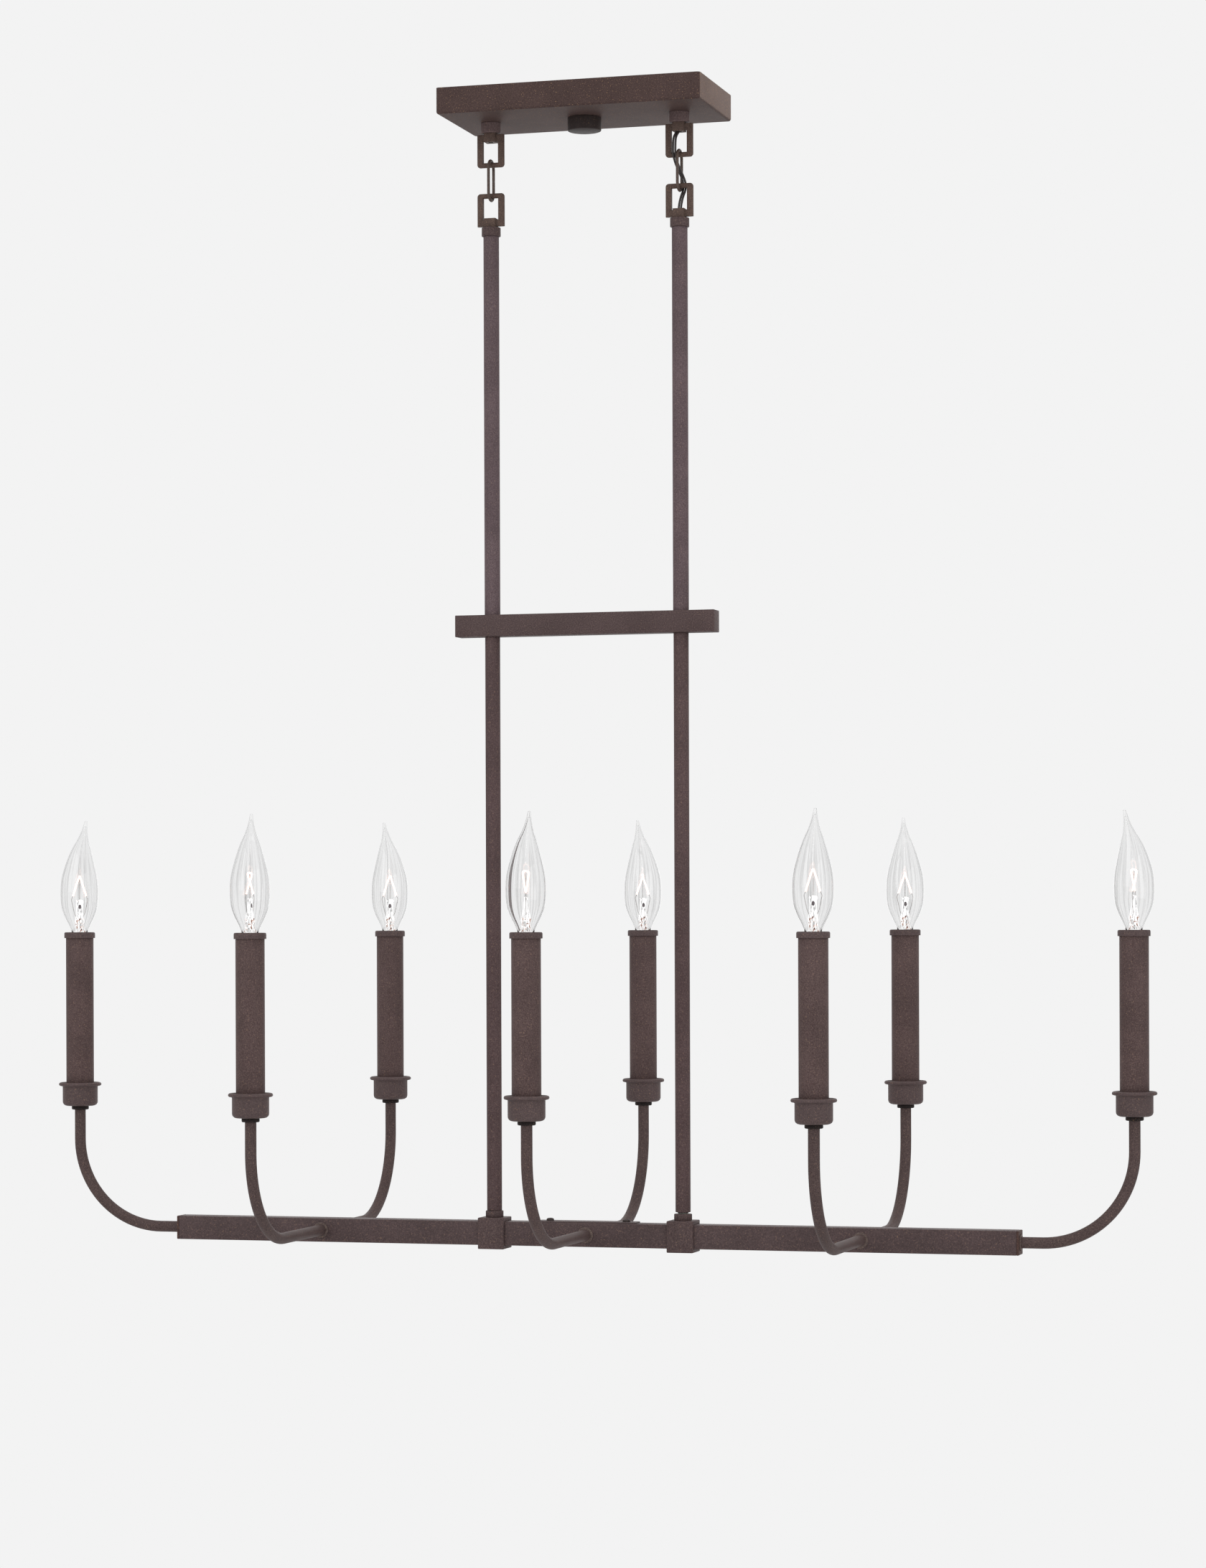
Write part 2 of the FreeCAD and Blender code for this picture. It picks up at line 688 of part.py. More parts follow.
def bar_fittings():
    plates = []
    for side, sign in SIDES:
        body = new_body("end_plate_" + side, (bar_length - end_plate) / 2 * sign)
        solid_block(body, "Additive", "plate", end_plate, bar_depth, bar_height, z=bar_bottom)
        outer = end_plate.value / 2 * sign

        def outer_edge(edge, outer=outer):
            box = edge.BoundBox
            return box.XLength > 1 or abs(box.XMin - outer) < 0.01

        dress(body, "Fillet", "Radius", bar_edge, outer_edge)
        hole = arm_radius + slip
        solid_round(body, "Subtractive", "hole", hole, end_plate + 10, -5, 0, bar_axis, ALONG_X)
        plates.append(body)
        saddle(side, sign)
    group("bar_end_plates", plates)
    cover = new_body("cover_plate")
    solid_block(cover, "Additive", "sheet", cover_length, cover_width, cover_sheet, z=bar_top)
    for side, sign in SIDES:
        x = cover_screw_spacing / 2 * sign
        hole = screw_shank_radius + slip
        solid_round(cover, "Subtractive", "hole_" + side, hole, 10, x, 0, bar_top - 5)
    node(cover)
    screws = []
    for side, sign in SIDES:
        x = cover_screw_spacing / 2 * sign
        screws.append(pan_screw("cover_screw_" + side, screw_length, x, bar_top + cover_sheet))
    group("cover_screws", screws)


# A saddle is a square sleeve round the bar, clamped under the rod's foot.
def saddle(side, sign):
    body = new_body("saddle_" + side, rod_side * sign)
    depth = bar_depth + saddle_side * 2
    height = bar_height + saddle_cap * 2
    low = bar_bottom - saddle_cap
    solid_block(body, "Additive", "block", saddle_length, depth, height, z=low)
    dress(body, "Chamfer", "Size", saddle_edge, lambda e: True)
    room = slip * 2
    hollow_low = bar_bottom - room
    inner = (saddle_length + 2, bar_depth + room, bar_height + room)
    solid_block(body, "Subtractive", "hollow", *inner, z=hollow_low)
    hole = pipe_outer / 2 + slip
    solid_round(body, "Subtractive", "foot_hole", hole, 10, 0, 0, saddle_top - 5)
    return node(body)


# --- Arms and candles ---------------------------------------------------------------------

# The ways that an arm can leave the bar, in degrees about Z.
RIGHT = 0
BACK = 90
LEFT = HALF_TURN
FRONT = -90

# Each candle: its name, the way its arm leaves the bar, its step along the bar, and the way
# its bulb's tip leans, in degrees about the candle's axis.
CANDLES = (
    ("end_left", LEFT, 0, 62),
    ("end_right", RIGHT, 0, 196),
    ("front_left", FRONT, -1, 99),
    ("front_centre", FRONT, 0, 83),
    ("front_right", FRONT, 1, 88),
    ("back_left", BACK, -1, 151),
    ("back_centre", BACK, 0, 143),
    ("back_right", BACK, 1, 111),
)


def arm_frame(way, step):
    """Where an arm leaves the bar: the bar's outer face, and how far the cup stands from it."""
    if way in (LEFT, RIGHT):
        sign = 1 if way == RIGHT else -1
        return bar_length / 2 * sign, as_size(0), end_reach
    sign = 1 if way == BACK else -1
    return arm_spacing * step, bar_depth / 2 * sign, side_reach - bar_depth / 2


def cup_place(way, step):
    if way in (LEFT, RIGHT):
        sign = 1 if way == RIGHT else -1
        return (bar_length / 2 + end_reach) * sign, as_size(0)
    sign = 1 if way == BACK else -1
    return arm_spacing * step, side_reach * sign


# An arm is a round tube: straight out of the bar, a quarter bend, then up through the cup.
# Its threaded end passes the bar's wall to a nut inside.
def arm(name, way, step):
    x, y, reach = arm_frame(way, step)
    wall = end_plate if way in (LEFT, RIGHT) else bar_wall
    inside = wall + arm_thread
    turn = FreeCAD.Rotation(V(0, 0, 1), way)
    body = new_body("arm_" + name, x, y, bar_axis, turn)
    path = new_sketch(body, "XZ_Plane", "path")
    start = -inside
    bend_start = reach - arm_bend
    top = arm_rise + arm_stub
    run = Part.LineSegment(V(start.value, 0, 0), V(bend_start.value, 0, 0))
    path.addGeometry(run, False)
    centre = V(bend_start.value, arm_bend.value, 0)
    circle = Part.Circle(centre, V(0, 0, 1), arm_bend.value)
    path.addGeometry(Part.ArcOfCircle(circle, -math.pi / 2, 0), False)
    rise = Part.LineSegment(V(reach.value, arm_bend.value, 0), V(reach.value, top.value, 0))
    path.addGeometry(rise, False)
    path.addConstraint(Sketcher.Constraint("Coincident", 0, 2, 1, 1))
    path.addConstraint(Sketcher.Constraint("Coincident", 1, 2, 2, 1))
    pin(path, 0, 1, start, 0)
    pin(path, 1, 1, bend_start, 0)
    pin(path, 1, 2, reach, arm_bend)
    number = path.addConstraint(Sketcher.Constraint("Radius", 1, arm_bend.value))
    path.setExpression("Constraints[%d]" % number, arm_bend.text)
    pin(path, 2, 2, reach, top)
    section = new_sketch(body, "YZ_Plane", "section")
    section.AttachmentOffset = FreeCAD.Placement(V(0, 0, start.value), FreeCAD.Rotation())
    section.setExpression("AttachmentOffset.Base.z", start.text)
    section.addGeometry(Part.Circle(V(0, 0, 0), V(0, 0, 1), arm_radius.value), False)
    section.addConstraint(Sketcher.Constraint("Coincident", 0, 3, -1, 1))
    number = section.addConstraint(Sketcher.Constraint("Radius", 0, arm_radius.value))
    section.setExpression("Constraints[%d]" % number, arm_radius.text)
    pipe = body.newObject("PartDesign::AdditivePipe", body.Name + "_bent")
    pipe.Profile = section
    pipe.Spine = (path, ["Edge1", "Edge2", "Edge3"])
    low = top - arm_bore_depth
    solid_round(body, "Subtractive", "socket_bore", arm_bore_radius, arm_bore_depth + 1, reach, 0, low)
    return body


def arms():
    sets = {"end": [], "front": [], "back": []}
    washers = []
    nuts = []
    bore = arm_radius + slip
    for name, way, step, _ in CANDLES:
        x, y, _ = arm_frame(way, step)
        sets[name.split("_")[0]].append(arm(name, way, step))
        turn = FreeCAD.Rotation(V(0, 0, 1), way).multiply(ALONG_X)
        back = FreeCAD.Rotation(V(0, 0, 1), way)
        washer = tube("arm_washer_" + name, washer_radius, bore, washer_sheet, x, y, bar_axis, turn)
        washers.append(washer)
        wall = end_plate if way in (LEFT, RIGHT) else bar_wall
        inward = back.multVec(V(-1, 0, 0))
        depth = wall + nut_height
        nuts.append(
            hex_nut(
                "arm_nut_" + name,
                x + depth * round(inward.x),
                y + depth * round(inward.y),
                bar_axis,
                turn,
            )
        )
    for key, members in sets.items():
        group(key + "_arms", members)
    group("arm_washers", washers)
    for side, sign in SIDES:
        low = bar_top - bar_wall - nut_height
        nuts.append(hex_nut("foot_nut_" + side, rod_side * sign, 0, low))
    group("bar_lock_nuts", nuts)


# A candle: a foot washer on the arm, a pressed cup with a rolled rim, a sleeve with a ring on
# top, and inside it a lamp socket on a stem that stands in the arm.
def candles():
    kinds = "cup_feet candle_cups candle_sleeves sleeve_rings lamp_sockets socket_stems"
    kinds += " bulb_bases bulbs bulb_mounts"
    sets = {kind: [] for kind in kinds.split()}
    for name, way, step, lean in CANDLES:
        x, y = cup_place(way, step)
        at = {"x": x, "y": y}
        hole = arm_radius + slip
        low = cup_base - foot_height
        sets["cup_feet"].append(tube("foot_" + name, foot_radius, hole, foot_height, z=low, **at))
        sets["candle_cups"].append(turned("cup_" + name, cup_outline(hole), z=cup_base, **at))
        floor = cup_base + cup_wall
        length = ring_top - ring_plate - floor
        bore = sleeve_radius - sleeve_wall
        sets["candle_sleeves"].append(tube("sleeve_" + name, sleeve_radius, bore, length, z=floor, **at))
        sets["sleeve_rings"].append(turned("ring_" + name, ring_outline(), z=ring_top, **at))
        socket_top = ring_top - socket_drop
        sets["lamp_sockets"].append(turned("socket_" + name, socket_outline(), z=socket_top, **at))
        stem_low = cup_base + arm_stub - arm_bore_depth
        stem_hole = arm_bore_radius - slip - socket_stem_wall
        stem_length = socket_top - socket_height - stem_low
        stem = tube("stem_" + name, arm_bore_radius - slip, stem_hole, stem_length, z=stem_low, **at)
        sets["socket_stems"].append(stem)
        sets["bulb_bases"].append(turned("base_" + name, base_outline(), z=socket_top, **at))
        turn = FreeCAD.Rotation(V(0, 0, 1), lean)
        sets["bulbs"].append(bulb(name, x, y, turn))
        mount_low = socket_top + glass_wall
        cone = {"Radius1": mount_foot, "Radius2": mount_radius, "Height": mount_height}
        sets["bulb_mounts"].append(make("Part::Cone", "mount_" + name, cone, x, y, mount_low))
    for key, members in sets.items():
        group(key, members)


def cup_outline(hole):
    """A cup in section: bevelled bottom, straight wall, flare and rolled rim."""
    inner = cup_radius - cup_wall
    shoulder = rim_height - rim_bead
    soft = cup_bottom_bevel * 0.3
    return (
        (hole, 0),
        (cup_radius - cup_bottom_bevel, 0),
        (cup_radius - soft, soft),
        (cup_radius, cup_bottom_bevel),
        (cup_radius, cup_wall_height),
        (rim_radius - rim_soft, shoulder + rim_soft),
        (rim_radius, rim_height - rim_bead / 2),
        (rim_radius - rim_soft, rim_height - rim_soft),
        (rim_radius - rim_soft * 4, rim_height),
        (inner + rim_soft * 3, rim_height - rim_soft * 2),
        (inner, cup_wall_height + cup_wall),
        (inner, cup_wall),
        (hole, cup_wall),
    )


def ring_outline():
    """A cap that sits over the sleeve's top, with a hole for the bulb's neck."""
    skirt = sleeve_radius + slip
    return (
        (ring_hole, 0),
        (ring_radius - ring_bevel, 0),
        (ring_radius, -ring_bevel),
        (ring_radius, -ring_height),
        (skirt, -ring_height),
        (skirt, -ring_plate),
        (ring_hole, -ring_plate),
    )


def socket_outline():
    """A moulded lamp socket: blind bore for the bulb's base, solid foot on the stem."""
    bore = base_radius + slip
    return (
        (0, -socket_height),
        (socket_radius, -socket_height),
        (socket_radius, 0),
        (bore, 0),
        (bore, -socket_depth),
        (0, -socket_depth),
    )


def base_outline():
    """A screw base with its centre contact, seated on the bottom of the socket."""
    return (
        (0, -socket_depth),
        (base_contact, -socket_depth),
        (base_radius, -base_height),
        (base_radius, 0),
        (0, 0),
    )


# A bulb is a blown flame shape: round sections from neck to tip, the upper ones drawn aside.
# The sections stand at these shares of the rise to the belly and of the rise above it, and
# the powers set how full the swell and the taper are and how late the tip turns aside.
SWELL_STEPS = (0, 0.16, 0.4, 0.65)
TAPER_STEPS = (0, 0.22, 0.42, 0.6, 0.75, 0.87)
SWELL_POWER = 1.1
TAPER_POWER = 0.8
TIP_POWER = 2.5


def bulb(name, x, y, turn):
    outer = flame("glass_" + name, as_size(0))
    inner = flame("hollow_" + name, glass_wall)
    return place(cut("bulb_" + name, outer, [inner]), x, y, ring_top, turn)


def flame(name, inset):
    """The lofted flame, or its hollow when inset by the wall."""
    solid = inset.value == 0
    stations = [(-socket_drop + inset, glass_foot)]
    for part in SWELL_STEPS if solid else SWELL_STEPS[1:3]:
        swell = math.sin(math.pi / 2 * part) ** SWELL_POWER
        stations.append((belly_height * part, glass_neck + (glass_belly - glass_neck) * swell))
    rise = flame_height - belly_height
    for part in TAPER_STEPS if solid else TAPER_STEPS[::2] + TAPER_STEPS[-1:]:
        taper = math.cos(math.pi / 2 * part) ** TAPER_POWER
        stations.append((belly_height + rise * part, glass_belly * taper))
    if solid:
        stations.append((flame_height - flame_tip_run, flame_radius))
        stations.append((tip_height, tip_radius))
    sections = []
    for i, (height, radius) in enumerate(stations):
        above = max(0, height.value - belly_height.value)
        lean = (above / (tip_height.value - belly_height.value)) ** TIP_POWER
        shape = {"Radius": radius - inset}
        label = "%s_section_%d" % (name, i)
        sections.append(make("Part::Circle", label, shape, tip_bend * lean, 0, height))
    loft = doc.addObject("Part::Loft", name)
    loft.Sections = sections
    loft.Solid = True
    loft.Ruled = True
    return loft


# --- Supply wire --------------------------------------------------------------------------

# The strands end in a moulded terminal block that sits on top of the ferrule's stem.
def terminal_block():
    body = new_body("terminal_block", rod_side, 0, stem_top)
    solid_block(body, "Additive", "case", terminal_width, terminal_depth, terminal_height)
    for side, sign in SIDES:
        x = strand_spacing / 2 * sign
        hole = strand_radius + slip / 2
        solid_round(body, "Subtractive", "entry_" + side, hole, terminal_entry_depth + 1, x, 0, -1)
    return node(body)


# The wire comes through the right-hand ferrule, passes in front of the loop's far bar, through
# the link, behind the rod loop's bar and down the rod to the main bar. Places are measured from
# the rod's axis; the route is straight runs joined by tangent arcs.
def wire_route():
    hub_low = hub_top.value - hub_height.value
    lower_hub = collar_top.value + hub_height.value
    ahead = loop_thickness.value / 2 + strand_radius.value + wire_bar_gap.value
    strands = strand_spacing.value / 2 + strand_radius.value
    beside = link_wire.value / 2 + strands + wire_link_gap.value
    hub_run = wire_hub_run.value
    loop_run = wire_loop_run.value
    link_run = wire_link_run.value
    start = stem_top + terminal_entry_depth - terminal_end_gap
    upper = [
        (0.0, 0.0, start.value),
        (0.0, 0.0, hub_low - hub_run),
        (-beside, -ahead, upper_pivot.value + loop_run),
        (-beside, -ahead, upper_pivot.value - link_run),
    ]
    joint = (0.0, 0.0, (upper_pivot.value + lower_pivot.value) / 2)
    lower = [
        (beside, ahead, lower_pivot.value + link_run),
        (beside, ahead, lower_pivot.value - loop_run),
        (0.0, 0.0, lower_hub + hub_run),
        (0.0, 0.0, bar_axis.value + wire_bar_run.value),
    ]
    return upper + [joint], [joint] + lower


def rounded_path(points):
    """Straight runs through the points, each corner an arc as large as its two runs allow."""
    edges = []
    radii = []
    last = points[0]
    for i in range(1, len(points) - 1):
        before, here, after = points[i - 1], points[i], points[i + 1]
        back = before - here
        ahead = after - here
        shorter = min(back.Length, ahead.Length)
        cosine = back.dot(ahead) / (back.Length * ahead.Length)
        half_turn = (math.pi - math.acos(max(-1.0, min(1.0, cosine)))) / 2
        if half_turn < 1e-3:
            continue
        trim = 0.45 * shorter
        back.normalize()
        ahead.normalize()
        start = here + back * trim
        end = here + ahead * trim
        radius = trim / math.tan(half_turn)
        radii.append(radius)
        bisector = back + ahead
        bisector.normalize()
        centre = here + bisector * (radius / math.cos(half_turn))
        middle = centre - bisector * radius
        edges.append(Part.LineSegment(last, start).toShape())
        edges.append(Part.Arc(start, middle, end).toShape())
        last = end
    edges.append(Part.LineSegment(last, points[-1]).toShape())
    return Part.Wire(edges), radii


def strand(points, shift):
    """One strand of the wire, swept along the rounded route."""
    base = V(rod_side.value + shift, 0, 0)
    route = [V(*p) + base for p in points]
    path, radii = rounded_path(route)
    direction = route[1] - route[0]
    circle = Part.Circle(route[0], direction, strand_radius.value)
    profile = Part.Wire([circle.toShape()])
    sweep = path.makePipeShell([profile], True, True)
    expected = math.pi * strand_radius.value**2 * path.Length
    if abs(sweep.Volume - expected) > 0.02 * expected:
        raise RuntimeError("a wire strand has the wrong volume")
    return sweep, radii, path.Length


def supply_wire():
    upper, lower = wire_route()
    for name, points in (("supply_wire_upper", upper), ("supply_wire_lower", lower)):
        shapes = []
        for sign in (-1, 1):
            shape, radii, length = strand(points, strand_spacing.value / 2 * sign)
            shapes.append(shape)
        print(name, "length", round(length, 1), "least radius", round(min(radii), 1))
        obj = doc.addObject("Part::Feature", name)
        obj.Shape = Part.Compound(shapes)
        obj.Placement = FreeCAD.Placement()
        node(obj)


mounting_strap()
canopy()
canopy_fixing()
earth = pan_screw("earth_screw", earth_screw_length, earth_screw_offset, -strap_sheet, UPSIDE_DOWN)
node(earth)
hanging()
rods()
crossbar()
main_bar()
bar_fittings()
arms()
candles()
terminal_block()
supply_wire()

doc.recompute()
faults = [o.Name for o in doc.Objects if "Invalid" in o.State or "Error" in o.State]
for part in nodes:
    shape = part.Shape
    if shape.isNull() or not shape.isValid() or not shape.Solids:
        faults.append(part.Label)
if faults:
    raise RuntimeError("failed: " + ", ".join(faults))
for part in nodes:
    part.Shape.exportStep("parts/%s.step" % part.Label)
print(len(nodes), "sub-parts written")
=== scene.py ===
import math

import bmesh
import bpy
from mathutils import Matrix, Vector


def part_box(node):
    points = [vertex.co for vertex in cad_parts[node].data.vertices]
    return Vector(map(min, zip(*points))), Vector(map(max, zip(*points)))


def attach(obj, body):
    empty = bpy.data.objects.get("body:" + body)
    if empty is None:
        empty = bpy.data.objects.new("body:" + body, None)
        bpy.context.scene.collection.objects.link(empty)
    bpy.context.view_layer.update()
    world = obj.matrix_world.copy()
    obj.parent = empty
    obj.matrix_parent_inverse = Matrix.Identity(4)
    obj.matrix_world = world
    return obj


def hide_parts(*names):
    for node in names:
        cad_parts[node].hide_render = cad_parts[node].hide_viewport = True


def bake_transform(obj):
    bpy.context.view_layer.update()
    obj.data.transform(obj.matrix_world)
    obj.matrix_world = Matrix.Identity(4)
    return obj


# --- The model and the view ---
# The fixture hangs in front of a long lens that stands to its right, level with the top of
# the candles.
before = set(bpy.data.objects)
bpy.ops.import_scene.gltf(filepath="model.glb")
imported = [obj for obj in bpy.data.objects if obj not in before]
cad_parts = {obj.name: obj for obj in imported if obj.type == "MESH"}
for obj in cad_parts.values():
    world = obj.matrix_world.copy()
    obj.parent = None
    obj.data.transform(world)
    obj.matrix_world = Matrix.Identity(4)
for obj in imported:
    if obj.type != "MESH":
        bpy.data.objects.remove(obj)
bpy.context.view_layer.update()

EYE = (1.0597, -3.6166, -0.7571)
EYE_TURN = math.radians(16.11)
EYE_ROLL = math.radians(-0.2)
LENS = 122.2
LENS_RISE = 0.1077


def show(obj):
    """Put an object in the scene."""
    bpy.context.scene.collection.objects.link(obj)
    return obj


eye = show(bpy.data.objects.new("eye", bpy.data.cameras.new("eye")))
eye.data.sensor_fit = "HORIZONTAL"
eye.data.sensor_width = 36
eye.data.lens = LENS
eye.data.shift_y = LENS_RISE
eye.data.clip_end = 60
upright = Matrix.Rotation(math.pi / 2, 4, "X")
turned_right = Matrix.Rotation(EYE_TURN, 4, "Z") @ upright @ Matrix.Rotation(EYE_ROLL, 4, "Z")
eye.matrix_world = Matrix.Translation(EYE) @ turned_right
bpy.context.scene.camera = eye
bpy.context.scene.view_settings.view_transform = "Standard"


# --- The studio ---
# A pale paper floor well under the fixture, wide soft lamps round it, and a narrow one in
# front that draws a line down each glass. The eye, gloss and glass see the paper's tone.
PAPER = 0.896
AMBIENT = 0.62
FLOOR_HEIGHT = -1.5
FLOOR_SIZE = 14
FLOOR_TONE = 0.86
SHADOW_REACH = 0.9
SHADOW_CORE = SHADOW_REACH * 0.35
SHADOW_TONE = 0.6
LAMPS = (
    ("key", (-2.2, -3.6, 1.0), 3.6, 3.6, 52),
    ("fill", (3.6, -2.0, 0.0), 3.0, 3.0, 38),
    ("top", (0.3, 0.2, 2.4), 3.0, 3.0, 34),
    ("back", (-0.6, 3.6, 0.3), 3.4, 3.4, 22),
    ("strip", (0.7, -3.0, 1.75), 0.3, 3.0, 11),
)
FIXTURE_MIDDLE = Vector((0, 0, -0.65))


def add(tree, kind, inputs=None, **settings):
    """One node in a tree: its settings, then a value or a link for each named input."""
    node = tree.nodes.new(kind)
    for key, value in settings.items():
        setattr(node, key, value)
    for key, value in (inputs or {}).items():
        if isinstance(value, bpy.types.NodeSocket):
            tree.links.new(value, node.inputs[key])
        else:
            node.inputs[key].default_value = value
    return node


def sum_up(tree, operation, a, b, clamp=False):
    """The result of one sum on two values."""
    settings = {"operation": operation, "use_clamp": clamp}
    return add(tree, "ShaderNodeMath", {0: a, 1: b}, **settings).outputs[0]


def vector_sum(tree, operation, *values):
    """The outputs of the node that does one sum on vectors."""
    return add(tree, "ShaderNodeVectorMath", dict(enumerate(values)), operation=operation).outputs


def ranged(tree, value, low, high, to_low=0, to_high=1, **settings):
    """A value from one range fitted to another, and held at its ends."""
    span = {"Value": value, "From Min": low, "From Max": high, "To Min": to_low, "To Max": to_high}
    return add(tree, "ShaderNodeMapRange", span, **settings).outputs[0]


def seen_directly(tree):
    """1 for the rays of the eye, of gloss and of glass, 0 for the rays of light itself."""
    path = add(tree, "ShaderNodeLightPath").outputs
    gloss = sum_up(tree, "MAXIMUM", path["Is Camera Ray"], path["Is Glossy Ray"])
    return sum_up(tree, "MAXIMUM", gloss, path["Is Transmission Ray"])


def grey(value):
    """A neutral colour."""
    return (value, value, value, 1)


world = bpy.data.worlds.new("studio")
world.use_nodes = True
air = world.node_tree
air.nodes.clear()
dim = add(air, "ShaderNodeBackground", {"Color": grey(AMBIENT), "Strength": 1})
paper_air = add(air, "ShaderNodeBackground", {"Color": grey(PAPER), "Strength": 1})
shaders = {0: seen_directly(air), 1: dim.outputs[0], 2: paper_air.outputs[0]}
either = add(air, "ShaderNodeMixShader", shaders)
add(air, "ShaderNodeOutputWorld", {"Surface": either.outputs[0]})
bpy.context.scene.world = world

floor_mesh = bpy.data.meshes.new("floor")
half = FLOOR_SIZE / 2
corners = ((-half, -half), (half, -half), (half, half), (-half, half))
floor_mesh.from_pydata([(*corner, FLOOR_HEIGHT) for corner in corners], [], [(0, 1, 2, 3)])
floor = show(bpy.data.objects.new("floor", floor_mesh))
paper = bpy.data.materials.new("paper")
paper.use_nodes = True
sheet = paper.node_tree
sheet.nodes.clear()
matt = add(sheet, "ShaderNodeBsdfDiffuse", {"Color": grey(FLOOR_TONE)})
glow = add(sheet, "ShaderNodeEmission", {"Color": grey(PAPER), "Strength": 1})
place = add(sheet, "ShaderNodeTexCoord").outputs["Object"]
flat = vector_sum(sheet, "MULTIPLY", place, (1, 1, 0))[0]
reach = vector_sum(sheet, "LENGTH", flat)["Value"]
shadow = (SHADOW_CORE, SHADOW_REACH, SHADOW_TONE, 1)
even = ranged(sheet, reach, *shadow, interpolation_type="SMOOTHSTEP")
tone = sum_up(sheet, "MULTIPLY", seen_directly(sheet), even)
lit = add(sheet, "ShaderNodeMixShader", {0: tone, 1: matt.outputs[0], 2: glow.outputs[0]})
clear = add(sheet, "ShaderNodeBsdfTransparent")
back = add(sheet, "ShaderNodeNewGeometry").outputs["Backfacing"]
sided = add(sheet, "ShaderNodeMixShader", {0: back, 1: lit.outputs[0], 2: clear.outputs[0]})
add(sheet, "ShaderNodeOutputMaterial", {"Surface": sided.outputs[0]})
floor_mesh.materials.append(paper)

for name, at, width, height, power in LAMPS:
    light = bpy.data.lights.new(name + "_lamp", "AREA")
    lamp = show(bpy.data.objects.new(name + "_lamp", light))
    lamp.data.shape = "RECTANGLE"
    lamp.data.size = width
    lamp.data.size_y = height
    lamp.data.energy = power
    lamp.visible_camera = False
    lamp.visible_transmission = False
    lamp.location = at
    lamp.rotation_euler = (Vector(at) - FIXTURE_MIDDLE).to_track_quat("Z", "Y").to_euler()


# --- Supply wire ---
# Two insulated strands come out of the canopy's right ferrule, pass through both loops and
# the link, and go down inside the right rod. Each strand is made in two lengths that meet at the
# link.
HANGER_X = 0.0904
STRAND_RADIUS = 0.001
STRAND_STEP = 0.0022
LINK_MIDDLE = -0.0772
UPPER_ROUTE = (
    (0, 0, -0.0123), (0, 0, -0.0291), (0, 0, -0.0402), (-0.0034, -0.0036, -0.0462),
    (-0.0038, -0.0042, -0.0545), (-0.0038, -0.0042, -0.06695), (0, 0, LINK_MIDDLE),
)
LOWER_ROUTE = (
    (0, 0, LINK_MIDDLE), (0.0038, 0.0042, -0.0868), (0.0038, 0.0042, -0.0945),
    (0.0014, 0.0022, -0.1015), (0, 0, -0.1115), (0, 0, -0.1254), (0, 0, -1.0502),
)


def paint(red, green, blue):
    """A colour named by its red, green and blue as a screen shows them, 0 to 255."""
    parts = [channel / 255 for channel in (red, green, blue)]
    straight = [p / 12.92 if p < 0.04045 else ((p + 0.055) / 1.055) ** 2.4 for p in parts]
    return (*straight, 1)


def new_finish(name, **constants):
    """A material, with what is the same all over it set on the shader's own sockets."""
    material = bpy.data.materials.new(name)
    material.use_nodes = True
    shader = material.node_tree.nodes["Principled BSDF"]
    for key, value in constants.items():
        shader.inputs[key.replace("_", " ")].default_value = value
    return material, material.node_tree


def noise(tree, scale, detail=2, stretch=(1, 1, 1), place=None):
    """Noise in the object's own metres, with so many grains to a metre, or at a given place."""
    place = place or add(tree, "ShaderNodeTexCoord").outputs["Object"]
    laid = add(tree, "ShaderNodeMapping", {"Vector": place, "Scale": stretch}).outputs[0]
    grain = {"Vector": laid, "Scale": scale, "Detail": detail, "Roughness": 0.55}
    return add(tree, "ShaderNodeTexNoise", grain).outputs["Fac"]


def blended(tree, factor, a, b):
    """A colour between two."""
    return add(tree, "ShaderNodeMix", {0: factor, 6: a, 7: b}, data_type="RGBA").outputs[2]


def surfaced(material, relief=None, depth=0, **values):
    """Link values to the shader's inputs, and a relief, if any, so many metres deep."""
    tree = material.node_tree
    if relief:
        bump = {"Height": relief, "Distance": depth, "Strength": 1}
        values["Normal"] = add(tree, "ShaderNodeBump", bump).outputs[0]
    for key, value in values.items():
        tree.links.new(value, tree.nodes["Principled BSDF"].inputs[key.replace("_", " ")])
    return material


def sheath_finish():
    """Dark insulation with faint streaks along the strand."""
    material, tree = new_finish("wire_sheath", IOR=1.46, Specular_IOR_Level=0.4)
    streak = noise(tree, 900, 2, (1, 1, 0.06))
    light = ranged(tree, streak, 0.35, 0.65)
    tint = blended(tree, light, paint(32, 26, 25), paint(52, 44, 42))
    dull = ranged(tree, streak, 0.3, 0.7, 0.24, 0.4)
    return surfaced(material, streak, 0.00004, Base_Color=tint, Roughness=dull)


def spline_points(route):
    """The points of the smooth line along a route."""
    curve = bpy.data.curves.new("strand_line", "CURVE")
    curve.dimensions = "3D"
    spline = curve.splines.new("NURBS")
    spline.points.add(len(route) - 1)
    for point, at in zip(spline.points, route):
        point.co = (*at, 1)
    spline.order_u = 3
    spline.use_endpoint_u = True
    spline.resolution_u = 16
    line = show(bpy.data.objects.new("strand_line", curve))
    seen = line.evaluated_get(bpy.context.evaluated_depsgraph_get())
    mesh = bpy.data.meshes.new_from_object(seen)
    points = [vertex.co.copy() for vertex in mesh.vertices]
    bpy.data.objects.remove(line)
    bpy.data.curves.remove(curve)
    bpy.data.meshes.remove(mesh)
    return points


